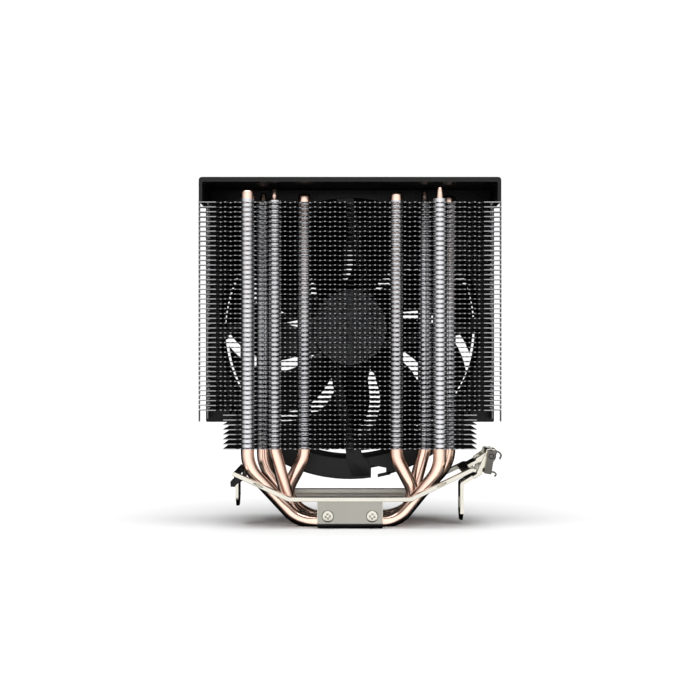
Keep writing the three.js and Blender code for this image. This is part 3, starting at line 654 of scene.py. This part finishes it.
# ------------------------------------------------------------------ clip frame


def bar(name, outline, y, material=SPRING_STEEL, width=0.22):
    """Sheet metal whose section is drawn in X and Z, with rounded edges."""
    return soften(to_object(name, prism(outline, "y", *y), [material]), width)


FLANGE_SET_BACK = 0.15
FLANGE_HALF = 14.5
FLANGE_BOTTOM_Z = 2.2
LIP_HALF = 26.3
LIP_BOTTOM_Z = 9.4
LIP_PAINTED_LIGHT_Y = 19
LIP_PAINTED_LIGHT_HALF = 26.5
TONGUE_LINE = [(53.2, 26.5), (59.9, 30.1)]
TONGUE_EAR = [(56.3, 27.7), (61, 29), (65.3, 29.6), (65.9, 31.6), (64.6, 33.6), (62, 33.5), (56.8, 30)]
DIMPLE_X = 40.5
DIMPLE_SIZE = (2.7, 1.2, 0.62)
SCREW_HOLE_RADIUS = 1.7


def clip_frame():
    arm_line = [LEFT_END, (-ARM_FLAT_HALF, ARM_Z), (ARM_FLAT_HALF, ARM_Z), RIGHT_END]
    arm = strip(arm_line, ARM_STEEL, bend=5)
    front = (-CLIP_HALF_Y, ARM_WIDTH - CLIP_HALF_Y)
    rear = (CLIP_HALF_Y - ARM_WIDTH, CLIP_HALF_Y)
    whole = bar("clip_frame_body", arm, front)
    join(whole, bar("arm", arm, rear))
    ends = (strip([LEFT_END, (-49.3, 23.26)], STEEL), strip([(50.4, 24.22), RIGHT_END, (55.8, 25.6)], STEEL))
    for end in ends:
        join(whole, bar("end_bar", end, (-CLIP_HALF_Y, CLIP_HALF_Y)))
    for y in ((FLANGE_SET_BACK - CLIP_HALF_Y, STEEL - CLIP_HALF_Y), (CLIP_HALF_Y - STEEL, CLIP_HALF_Y)):
        face = fillet([(-FLANGE_HALF, FLANGE_BOTTOM_Z), (FLANGE_HALF, FLANGE_BOTTOM_Z),
                       (FLANGE_HALF, ARM_Z), (-FLANGE_HALF, ARM_Z)], 0.8)
        join(whole, bar("flange", face, y))
    lip = [(-LIP_HALF, LIP_BOTTOM_Z), (LIP_HALF, LIP_BOTTOM_Z), (LIP_HALF, ARM_Z), (-LIP_HALF, ARM_Z)]
    join(whole, bar("rear_lip", fillet(lip, 1.5), (CLIP_HALF_Y - STEEL, CLIP_HALF_Y)))
    join(whole, bar("tongue", strip(TONGUE_LINE, STEEL), (-TONGUE_HALF_Y, TONGUE_HALF_Y)))
    ear = fillet(TONGUE_EAR, 1)
    for y in ((-TONGUE_HALF_Y, STEEL - TONGUE_HALF_Y), (TONGUE_HALF_Y - STEEL, TONGUE_HALF_Y)):
        join(whole, bar("tongue_ear", ear, y))
    hole = PIN_RADIUS + 0.15
    cut(whole, disc(hole, (-20, 20), 24, *PIVOT))
    for x in (-CLIP_SCREW_X, CLIP_SCREW_X):
        for y in (-26, 20):
            cut(whole, disc(SCREW_HOLE_RADIUS, (y, y + 6), 24, x, CLIP_SCREW_Z))
    # pressed dimples half way up both slopes of the front and rear arms
    for side, end in ((-1, LEFT_END), (1, RIGHT_END)):
        x = side * DIMPLE_X
        share = (abs(x) - ARM_FLAT_HALF) / (abs(end[0]) - ARM_FLAT_HALF)
        z = ARM_Z + share * (end[1] - ARM_Z)
        tilt = math.atan2(end[1] - ARM_Z, abs(end[0]) - ARM_FLAT_HALF) * -side
        for y in (-CLIP_HALF_Y - 0.5, CLIP_HALF_Y + 0.5):
            dent = bmesh.new()
            bmesh.ops.create_uvsphere(dent, u_segments=24, v_segments=12, radius=1)
            spot = Matrix.Translation((x, y, z)) @ Matrix.Rotation(tilt, 4, "Y")
            move(dent, spot @ Matrix.Diagonal((*DIMPLE_SIZE, 1)))
            cut(whole, dent)
    whole.data.materials.append(FLANGE_STEEL_PAINTED_SHADE)
    whole.data.materials.append(LIP_STEEL_PAINTED_LIGHT)
    flange_y = (FLANGE_SET_BACK - CLIP_HALF_Y) * MM
    # the front face of the flange takes a darker copy of the steel as painted shade, and what is seen of the
    # rear arm and its lip takes a brighter, less metallic copy as painted light
    for face in whole.data.polygons:
        x, y = abs(face.center.x), face.center.y
        if face.normal.y < -0.95 and abs(y - flange_y) < FLANGE_SET_BACK / 2 * MM:
            face.material_index = 1
        elif face.normal.y < -0.9 and y > LIP_PAINTED_LIGHT_Y * MM and x < LIP_PAINTED_LIGHT_HALF * MM:
            face.material_index = 2
    finished(crisp(whole), "heatsink", "spring_steel", "clip_frame")


clip_frame()


def cross_recess(depth, reach, width):
    """A cross-shaped recess about the Y direction, its mouth at y 0 and its depth towards +Y."""
    bodies = []
    for angle in (0, 90):
        bm = bmesh.new()
        mouth = [bm.verts.new((u * reach, -0.3, v * width)) for u, v in ((-1, -1), (1, -1), (1, 1), (-1, 1))]
        floor = [bm.verts.new((u * reach * 0.35, depth, v * width * 0.6))
                 for u, v in ((-1, -1), (1, -1), (1, 1), (-1, 1))]
        bm.faces.new(mouth)
        bm.faces.new(floor)
        ring_faces(bm, mouth, floor)
        bodies.append(move(bm, Matrix.Rotation(math.radians(angle), 4, "Y")))
    return bodies


# over a screw's head from its middle, as shares of its radius and of its height
HEAD_SHAPE = ((0, 1), (0.7, 0.97), (0.86, 0.88), (0.97, 0.62))
THREAD_STEP = 0.35
THREAD_DEPTH = 0.25
THREAD_START = 0.4
RECESS_DEPTH = 1.1
RECESS_REACH = 0.62
RECESS_HALF_WIDTH = 0.55
# length, radius of the head and of the shank, height of the head
CLIP_SCREW = (6.5, 2.7, 1.45, 1.5)
FAN_SCREW = (4.4, 2.6, 1.5, 1.9)


def pan_screw(name, x, z, seat, sizes, turn, material=SCREW_STEEL):
    """Pan-head screw with its head towards -Y, its seat at y 0 before it is placed."""
    length, head_radius, shank_radius, head_height = sizes
    profile = [(head_radius * out, -head_height * up) for out, up in HEAD_SHAPE]
    profile += [(head_radius, -0.25), (head_radius * 0.97, 0), (shank_radius, 0)]
    y = THREAD_START
    while y < length - THREAD_STEP:
        profile += [(shank_radius, y), (shank_radius - THREAD_DEPTH, y + THREAD_STEP / 2)]
        y += THREAD_STEP
    profile += [(shank_radius * 0.8, length), (0, length)]
    screw = to_object(name, turned(profile, 40), [material])
    for recess in cross_recess(RECESS_DEPTH, head_radius * RECESS_REACH, RECESS_HALF_WIDTH):
        cut(screw, move(recess, Matrix.Translation((0, -head_height, 0)) @ Matrix.Rotation(turn, 4, "Y")))
    place = Matrix.Translation((x * MM, seat * MM, z * MM))
    if seat > 0:
        place = place @ Matrix.Rotation(math.pi, 4, "Z")
    screw.data.transform(place)
    return screw


for end, side in (("front", -1), ("rear", 1)):
    for hand, across in (("left", -1), ("right", 1)):
        node = f"clip_screw_{end}_{hand}"
        seat = side * (CLIP_HALF_Y + 0.02)
        screw = pan_screw(node + "_body", across * CLIP_SCREW_X, CLIP_SCREW_Z, seat, CLIP_SCREW, 0.12 * across)
        finished(screw, "heatsink", "screw", node)

# ------------------------------------------------------------------ cam lever and hooks
GRIP_HALF = 1.4
RIB_HEIGHT = 0.3
RIBS = 14
RIB_STEPS = 5
TOP_CURL = [(64, 33.4), (66.6, 33.4), (68.1, 31.9), (67.2, 29.9)]
LOW_CURL = [(62.6, 24.3), (64.9, 24.1), (65.8, 23.1), (64.9, 22.2)]


def cam_lever():
    half = LEVER_HALF_Y
    heel, crown = Vector(LEVER_HEEL), Vector(LEVER_CROWN)
    lean = (crown - heel).normalized()
    out = Vector((lean.y, -lean.x))
    # both faces of the grip carry small round ribs
    right, left = [], []
    for k in range(RIBS * RIB_STEPS + 1):
        t = k / (RIBS * RIB_STEPS)
        wave = abs(math.sin(math.pi * RIBS * t))
        point = heel + (crown - heel) * t
        right.append(tuple(point + out * (GRIP_HALF + RIB_HEIGHT * wave)))
        left.append(tuple(point - out * (GRIP_HALF + RIB_HEIGHT * wave)))
    lever = bar("cam_lever_body", right + left[::-1], (-half, half), LEVER_METAL, 0.12)
    knuckle = [(0, -half + 0.2), (1.9, -half + 0.2), (2.2, -half + 0.5), (2.2, half - 0.5), (1.9, half - 0.2),
               (0, half - 0.2)]
    join(lever, to_object("knuckle", turned(knuckle, 40, *PIVOT), [LEVER_METAL]))
    inner, outer = LEVER_SLOT_Y
    for curl in (strip(TOP_CURL, 0.75, bend=1.6), strip(LOW_CURL, 0.7, bend=0.8)):
        for y in ((-half + 1, -outer), (outer, half - 1)):
            join(lever, bar("curl", curl, y, LEVER_METAL, 0.15))
    hole = PIN_RADIUS + 0.05
    cut(lever, disc(hole, (-20, 20), 24, *PIVOT),
        *(block((50, FAR), y, (LEVER_SLOT_Z, 40)) for y in ((-outer, -inner), (inner, outer))))
    # faces turned towards -X take the light olive copy: painted light
    lever.data.materials.append(LEVER_SIDE_PAINTED_LIGHT)
    for face in lever.data.polygons:
        if face.normal.x < -0.6:
            face.material_index = 1
    finished(crisp(lever), "lever", "lever", "cam_lever")


cam_lever()


def pivot_pin():
    low, high = box_of("lever_pivot_pin")
    profile = [(0, low.y), (PIN_RADIUS - 0.3, low.y), (PIN_RADIUS, low.y + 0.3), (PIN_RADIUS, high.y - 0.3),
               (PIN_RADIUS - 0.3, high.y), (0, high.y)]
    pin = to_object("lever_pivot_pin_body", turned(profile, 32, *PIVOT), [LEVER_METAL])
    finished(pin, "heatsink", "screw", "lever_pivot_pin")


pivot_pin()


def leg_tip(name, x, sheet, low, shoulder):
    """The pointed lower end of a hook's leg."""
    tip = fillet([(-HOOK_HALF_Y, shoulder), (-3.2, low), (3.2, low), (HOOK_HALF_Y, shoulder)], 1.4)
    return soften(to_object(name, prism(tip, "x", x - sheet / 2, x + sheet / 2), [SPRING_STEEL]), 0.2)


STRAP_END = (59, 23.7)
HOOK_EAR = [(57.2, 21.75), (59.4, 23.07), (59.75, 25.6), (65.2, 28.9), (65.6, 34.4), (61.6, 34.6),
            (60.2, 30.5), (57, 24)]
WINDOW_HALF = 4.5
LEFT_HEAD = [(-52.2, 17.1), (-50.4, 18.6), (-47.6, 20.6), (-47.6, 21.7), (-49.3, 21.3), (-52.4, 22.1),
             (-52.7, 19.8), (-54.1, 19.7), (-54, 17.1)]
LEFT_SHEET = 1.3
LEFT_WINDOW_Z = (12.4, 17)
LEFT_TIP_Z = (8.2, 12.2)
RIGHT_WINDOW_Z = (6.5, 12.5)
RIGHT_TIP_Z = (1.7, 5.4)
FINGER_LINE = [(-48.1, 21), (-48.1, 24.45), (-49.9, 25.27)]
PAINTED_SHADE_ABOVE_Z = 22.3


def lug_window(x, low, high):
    """A body that cuts the window for a socket's lug through a leg, between two x."""
    corners = [(-WINDOW_HALF, low), (WINDOW_HALF, low), (WINDOW_HALF, high), (-WINDOW_HALF, high)]
    return prism(fillet(corners, 1), "x", *x)


def lever_hook():
    inner = TONGUE_HALF_Y + 0.3
    outer = inner + STEEL
    strap = strip([(HOOK_LEG_X, 5), (HOOK_LEG_X, 18.4), STRAP_END], STEEL, bend=0.8)
    hook = bar("lever_hook_body", strap, (-HOOK_HALF_Y, HOOK_HALF_Y))
    join(hook, bar("yoke", strip([(55.6, 21.55), STRAP_END], STEEL), (-outer, outer)))
    ear = fillet(HOOK_EAR, 0.9)
    for y in ((-outer, -inner), (inner, outer)):
        join(hook, bar("hook_ear", ear, y))
    join(hook, leg_tip("tip", HOOK_LEG_X, STEEL, *RIGHT_TIP_Z))
    cut(hook, lug_window((HOOK_LEG_X - 2, HOOK_LEG_X + 2), *RIGHT_WINDOW_Z))
    # the pin's slot is tall, which lets the hook rise and fall
    half, low = PIN_RADIUS + 0.25, PIVOT[1] - PIN_RADIUS - 0.25
    slot = fillet([(PIVOT[0] - half, low), (PIVOT[0] + half, low), (PIVOT[0] + half, low + 4.4),
                   (PIVOT[0] - half, low + 4.4)], 1.4)
    cut(hook, prism(slot, "y", -20, 20))
    finished(crisp(hook), "right_hook", "spring_steel", "lever_hook")


lever_hook()


def left_hook():
    hook = bar("left_hook_body", fillet(LEFT_HEAD, 0.4), (-HOOK_HALF_Y, HOOK_HALF_Y), BLACK_SCREW_STEEL_AND_PAINTED_SHADE)
    hook.data.materials.append(SPRING_STEEL)
    leg = [(LEFT_LEG_X + side * LEFT_SHEET / 2, z) for side, z in ((-1, 12), (1, 12), (1, 19), (-1, 19))]
    pieces = [bar("leg", leg, (-HOOK_HALF_Y, HOOK_HALF_Y))]
    finger = strip(FINGER_LINE, 1, bend=0.8)
    pieces += [bar("finger", finger, y) for y in ((-HOOK_HALF_Y, -5), (5, HOOK_HALF_Y))]
    pieces.append(leg_tip("tip", LEFT_LEG_X, LEFT_SHEET, *LEFT_TIP_Z))
    join(hook, *pieces)
    cut(hook, lug_window((-56, -49), *LEFT_WINDOW_Z))
    # the head and every face above this height take the black steel: painted shade
    for face in hook.data.polygons:
        if face.center.z > PAINTED_SHADE_ABOVE_Z * MM:
            face.material_index = 0
    finished(crisp(hook), "left_hook", "spring_steel", "left_hook")


left_hook()

# ------------------------------------------------------------------ top cover
COVER_WALL = 1.6
COVER_ROOF = 2.2
SEAM_INSET = 5.5


def top_cover():
    low, high = COVER_LOW, COVER_HIGH
    wall, roof = COVER_WALL, COVER_ROOF
    outer = fillet([(low.x, low.z - 3), (high.x, low.z - 3), (high.x, high.z), (low.x, high.z)], 1.6)
    shell = soften(to_object("top_cover_shell", prism(outer, "y", low.y, high.y), [COVER_PLASTIC]), 0.5, 3)
    cut(shell, block((-FAR, FAR), (-30, 60), (low.z - 10, low.z)))
    inside = fillet([(low.x + wall, low.z - 5), (high.x - wall, low.z - 5), (high.x - wall, high.z - roof),
                     (low.x + wall, high.z - roof)], 0.8)
    cut(shell, prism(inside, "y", low.y - 1, high.y - wall))
    cut(shell, disc(RING_INNER + 1, (high.y - 4, high.y + 2), 120, 0, FAN_Z))
    # shallow seam lines across the top
    for y in (low.y + SEAM_INSET, high.y - SEAM_INSET):
        cut(shell, block((-FAR, FAR), (y - 0.3, y + 0.3), (high.z - 0.35, high.z + 1)))
    finished(crisp(shell), "heatsink", "black_plastic", "top_cover")


top_cover()

# ------------------------------------------------------------------ fan bracket
BORE_RADIUS = 61
FAN_SCREW_HOLE = 1.9
FAN_SCREWS = [polar(FAN_SCREW_RADIUS, a) for a in
              (FAN_SCREW_ANGLE, 180 - FAN_SCREW_ANGLE, 180 + FAN_SCREW_ANGLE, -FAN_SCREW_ANGLE)]


def fan_bracket():
    low, high = BRACKET_LOW, BRACKET_HIGH
    shoulder = COVER_LOW.z - 0.3
    narrow = COVER_HIGH.x - 1.9
    plate = [(low.x, low.z), (high.x, low.z), (high.x, shoulder), (narrow, shoulder),
             (narrow, high.z), (-narrow, high.z), (-narrow, shoulder), (low.x, shoulder)]
    bracket = to_object("fan_bracket_plate", prism(fillet(plate, 0.8), "y", low.y, high.y), [COVER_PLASTIC])
    soften(bracket, 0.3)
    cut(bracket, disc(BORE_RADIUS, (10, 30), 120, 0, FAN_Z))
    for x, z in FAN_SCREWS:
        cut(bracket, disc(FAN_SCREW_HOLE, (10, 30), 20, x, FAN_Z + z))
    finished(bracket, "heatsink", "black_plastic", "fan_bracket")


fan_bracket()

# ------------------------------------------------------------------ fan frame
# outlines of the lowest strut, in X and in height from the fan's axis
STRUT_LINE = [(-10.5, -14), (-5.5, -16.4), (3.5, -57.5), (9, -69.5), (1, -69.8), (-2, -58)]
FOOT_LINE = [(-1.6, -57), (-2, -61), (1, -69.6), (10, -69.2), (8.6, -61.5), (6.3, -60.5), (5, -57)]
FOOT_SLOT = [(0.6, -55), (2.2, -62), (3.8, -63.4), (5.2, -62), (4, -55)]
FRAME_FACE_Y = FRAME_LOW.y + 0.6
FRAME_FLANGE = 2.4
FRAME_WEBS = 24
NOTCH_LINE = [(9.8, 17), (17, 17), (17, 23.6), (10, 25)]
NOTCH_LATCH = [(13, 19.2), (19, 20.5), (19, 22), (13, 20.6)]


def strut(angle):
    """A strut with its slotted foot, drawn for the lowest place and turned about the fan's axis."""
    y0 = FRAME_FACE_Y
    body = to_object("strut", prism(fillet(STRUT_LINE, 1.5), "y", y0, y0 + FRAME_FLANGE), [FAN_PLASTIC])
    soften(body, 0.5, 3)
    foot = soften(to_object("foot", prism(fillet(FOOT_LINE, 0.8), "y", y0 - 0.6, y0 + 1), [FAN_PLASTIC]), 0.2)
    cut(foot, prism(fillet(FOOT_SLOT, 1), "y", y0 - 1, y0 - 0.05))
    join(body, foot)
    place = Matrix.Translation((0, 0, FAN_Z * MM)) @ Matrix.Rotation(math.radians(-angle), 4, "Y")
    body.data.transform(place)
    return body


def fan_frame():
    y0, y1 = FRAME_FACE_Y, FRAME_HIGH.y
    flange = FRAME_FLANGE
    inner, outer = RING_INNER, RING_OUTER
    wall = inner + 2.2
    profile = [(inner + 1.2, y0), (outer - 0.4, y0), (outer, y0 + 0.4), (outer, y0 + flange - 0.2),
               (outer - 0.3, y0 + flange), (wall + 0.6, y0 + flange), (wall, y0 + flange + 0.6),
               (wall, y1 - flange - 0.6), (wall + 0.6, y1 - flange), (outer - 3.3, y1 - flange),
               (outer - 3, y1 - flange + 0.3), (outer - 3, y1 - 0.4), (outer - 3.4, y1),
               (inner + 1.6, y1), (inner, y1 - 1.8), (inner, y0 + 1.4)]
    ring = to_object("fan_frame_body", turned(profile, 144, 0, FAN_Z, closed=True), [FAN_PLASTIC])
    # webs stiffen the duct between both flanges
    for k in range(FRAME_WEBS):
        web = block((wall - 1, outer - 3.6), (y0 + 1, y1 - 1), (FAN_Z - 0.6, FAN_Z + 0.6))
        join(ring, about_fan(web, (k + 0.5) * 360 / FRAME_WEBS))
    side = BRACKET_HIGH.x - 0.2
    limit = FRAME_HIGH.z
    deep, tall = (10, 60), 170
    trims = [((-FAR, -side), deep, (0, tall)), ((side, FAR), deep, (0, tall)),
             ((-FAR, FAR), deep, (limit, tall))]
    for trim in trims:
        cut(ring, block(*trim))
    motor = [(0, y0), (MOTOR_BASE_RADIUS - 0.5, y0), (MOTOR_BASE_RADIUS, y0 + 0.5),
             (MOTOR_BASE_RADIUS, y0 + 2.5), (5, y0 + 2.5), (4.3, y0 + 3.2), (4.3, 36), (0, 36)]
    join(ring, turned(motor, 72, 0, FAN_Z))
    for k in range(4):
        bar_body = strut(k * 90)
        for trim in trims:
            cut(bar_body, block(*trim))
        join(ring, bar_body)
    cut(ring, disc(3.2, (y0 - 2, 40), 32, 0, FAN_Z))
    cut(ring, prism(NOTCH_LINE, "y", 20, 26))
    join(ring, prism(NOTCH_LATCH, "y", y0, y0 + flange))
    for x, z in FAN_SCREWS:
        cut(ring, disc(FAN_SCREW_HOLE, (20, 26), 20, x, FAN_Z + z))
    finished(ring, "heatsink", "fan_plastic", "fan_frame")


fan_frame()

for i, (x, z) in enumerate(FAN_SCREWS):
    node = f"fan_screw_{i + 1}"
    low, high = box_of(node)
    screw = pan_screw(node + "_body", x, FAN_Z + z, high.y - 2, FAN_SCREW, 0.4 * i, BLACK_SCREW_STEEL_AND_PAINTED_SHADE)
    finished(screw, "heatsink", "screw", node)

# ------------------------------------------------------------------ fan rotor
BLADE_ACROSS = 14
BLADE_ALONG = 28
BLADE_SPREAD = 31.5
BLADE_ROOT_SPREAD = 40.5
ROOT_CLOSED_RADIUS = 21.5
ROOT_OPEN_RADIUS = 25
BLADE_START = 191.4
SWEEP_RADIUS = 31
SWEEP = 0.3
SWEEP_GROWTH = 0.025
BLADE_MIDDLE_Y = 35.2
BLADE_CAMBER = 1.6
HUB_Y = (26.6, 44.4)
HUB_WALL = 1.6
BOSS_RADIUS = 3
BOSS_END_Y = 39.6
SHAFT_HOLE_RADIUS = 1.65
SHAFT_HOLE_END_Y = 42.4


def blade():
    """One blade as a closed grid with rounded leading and trailing edges."""
    bm = bmesh.new()
    root = HUB_RADIUS - 0.8
    rings = []
    for k in range(BLADE_ALONG + 1):
        span = k / BLADE_ALONG
        radius = root + span * (BLADE_TIP_RADIUS - root)
        beyond = radius - SWEEP_RADIUS
        middle = BLADE_START - SWEEP * beyond - SWEEP_GROWTH * beyond * abs(beyond)
        closing = min(max((ROOT_OPEN_RADIUS - radius) / (ROOT_OPEN_RADIUS - ROOT_CLOSED_RADIUS), 0), 1)
        spread = BLADE_SPREAD + (BLADE_ROOT_SPREAD - BLADE_SPREAD) * closing
        pitch, thick = 15 - 3 * span, (2.2 - 1 * span) / 2
        ring = []
        for side in (1, -1):
            for j in range(BLADE_ACROSS + 1):
                chord = (j / BLADE_ACROSS - 0.5) * side
                shape = math.sqrt(max(1 - (2 * abs(chord)) ** 4, 0.02))
                x, z = polar(radius, middle - chord * spread)
                y = BLADE_MIDDLE_Y + chord * pitch + side * thick * shape
                y += BLADE_CAMBER * (1 - 4 * chord * chord)
                ring.append(bm.verts.new((x, y, FAN_Z + z)))
        rings.append(ring)
    for first, second in zip(rings, rings[1:]):
        ring_faces(bm, first, second)
    bm.faces.new(rings[0])
    bm.faces.new(rings[-1])
    return bm


def fan_rotor():
    y0, y1 = HUB_Y
    inner, face = HUB_RADIUS - HUB_WALL, y1 - HUB_WALL
    # up the inside of the cup, round its rim and over its face, which is sunk a little inside a border
    profile = [(0, BOSS_END_Y), (BOSS_RADIUS, BOSS_END_Y), (BOSS_RADIUS, face), (inner, face), (inner, y0),
               (HUB_RADIUS - 0.2, y0), (HUB_RADIUS, y0 + 0.3), (HUB_RADIUS, y1 - 1.4),
               (HUB_RADIUS - 0.4, y1 - 0.5), (HUB_RADIUS - 1.4, y1), (14.2, y1), (14, y1 - 0.3),
               (0, y1 - 0.3)]
    rotor = to_object("fan_rotor_body", turned(profile, 96, 0, FAN_Z), [FAN_PLASTIC])
    for k in range(BLADE_COUNT):
        join(rotor, about_fan(blade(), k * 360 / BLADE_COUNT))
    cut(rotor, disc(SHAFT_HOLE_RADIUS, (30, SHAFT_HOLE_END_Y), 24, 0, FAN_Z))
    finished(rotor, "rotor", "fan_plastic", "fan_rotor")


fan_rotor()

LABEL_RADIUS = 17.3
LABEL_PROFILE = [(0, 21.05), (LABEL_RADIUS - 0.3, 21.05), (LABEL_RADIUS, 21.2), (LABEL_RADIUS, 21.5),
                 (0, 21.5)]
label = to_object("motor_label_disc", turned(LABEL_PROFILE, 96, 0, FAN_Z), [LABEL])
finished(label, "heatsink", "label", "motor_label")

# ------------------------------------------------------------------ motor pieces that keep their CAD shape
CARRIED_OVER = {
    "rotor_magnet": MAGNET, "rotor_shaft": SCREW_STEEL, "shaft_retaining_clip": SCREW_STEEL,
    "bearing_sleeve": BRONZE, "stator_core": LAMINATION, "circuit_board": BOARD,
    **{f"stator_coil_{i}": WINDING for i in range(1, 5)},
}
for node, material in CARRIED_OVER.items():
    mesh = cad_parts[node].data
    mesh.materials.clear()
    mesh.materials.append(material)

# ------------------------------------------------------------------ stage, light and camera
# brightness by direction, as (position, level): upwards, and from the front side to the fan side
HEIGHT_ENDS = ((0.19, 0.004), (0.37, 1))
DEPTH_ENDS = ((0.03, 1.45), (0.62, 0.004))
DEPTH_BETWEEN = ((0.14, 1.1), (0.35, 0.55), (0.51, 0.28))
SKY_STRENGTH = 1.05
SUN_STRENGTH = 2.75
SUN_ANGLE = 70


def floor():
    bm = bmesh.new()
    bmesh.ops.create_grid(bm, x_segments=2, y_segments=2, size=4000)
    material, shader, coordinates = new_material("pale_floor", (0.9, 0.9, 0.9), 0, 0.9)
    tint(material, shader, noise(material, coordinates, 3), (0.89, 0.89, 0.89), (0.91, 0.91, 0.91))
    shader.inputs["Specular IOR Level"].default_value = 0
    plane = to_object("floor", bm, [material])
    plane.location.z = -0.0001
    plane.visible_glossy = False


def sky():
    """White to the camera; for light and reflections bright in front and above, dark behind and below."""
    world = bpy.data.worlds.new("studio")
    bpy.context.scene.world = world
    world.use_nodes = True
    nodes, links = world.node_tree.nodes, world.node_tree.links
    background = nodes["Background"]
    direction = nodes.new("ShaderNodeTexCoord")
    parts = nodes.new("ShaderNodeSeparateXYZ")
    links.new(direction.outputs["Generated"], parts.inputs["Vector"])

    def ramp_along(axis, interpolation, ends, between=()):
        """Brightness from one part of the direction, taken from -1..1 to 0..1, as (position, level) steps."""
        spread = nodes.new("ShaderNodeMapRange")
        spread.inputs["From Min"].default_value = -1
        links.new(parts.outputs[axis], spread.inputs["Value"])
        ramp = nodes.new("ShaderNodeValToRGB")
        ramp.color_ramp.interpolation = interpolation
        for element, (position, level) in zip(ramp.color_ramp.elements, ends):
            element.position = position
            element.color = (level, level, level, 1)
        for position, level in between:
            ramp.color_ramp.elements.new(position).color = (level, level, level, 1)
        links.new(spread.outputs["Result"], ramp.inputs["Fac"])
        return ramp

    height = ramp_along("Z", "EASE", HEIGHT_ENDS)
    behind = ramp_along("Y", "LINEAR", DEPTH_ENDS, DEPTH_BETWEEN)
    blend = nodes.new("ShaderNodeMix")
    blend.data_type = "RGBA"
    blend.blend_type = "MULTIPLY"
    blend.inputs["Factor"].default_value = 1
    links.new(height.outputs["Color"], blend.inputs[6])
    links.new(behind.outputs["Color"], blend.inputs[7])
    seen = nodes.new("ShaderNodeLightPath")
    shown = nodes.new("ShaderNodeMix")
    shown.data_type = "RGBA"
    shown.inputs[7].default_value = (1, 1, 1, 1)
    links.new(seen.outputs["Is Camera Ray"], shown.inputs["Factor"])
    links.new(blend.outputs[2], shown.inputs[6])
    links.new(shown.outputs[2], background.inputs["Color"])
    background.inputs["Strength"].default_value = SKY_STRENGTH


def overhead():
    """A very wide, soft light from straight above."""
    light = bpy.data.lights.new("overhead", "SUN")
    light.energy = SUN_STRENGTH
    light.angle = math.radians(SUN_ANGLE)
    lamp = bpy.data.objects.new("overhead", light)
    bpy.context.scene.collection.objects.link(lamp)


def camera():
    data = bpy.data.cameras.new("camera")
    data.lens = CAMERA_LENS
    data.sensor_width = CAMERA_SENSOR
    thing = bpy.data.objects.new("camera", data)
    thing.location = Vector(CAMERA_PLACE) * MM
    thing.rotation_euler = (math.pi / 2, 0, 0)
    bpy.context.scene.collection.objects.link(thing)
    bpy.context.scene.camera = thing


floor()
sky()
overhead()
camera()
bpy.context.scene.view_settings.view_transform = "Standard"

bpy.context.view_layer.update()
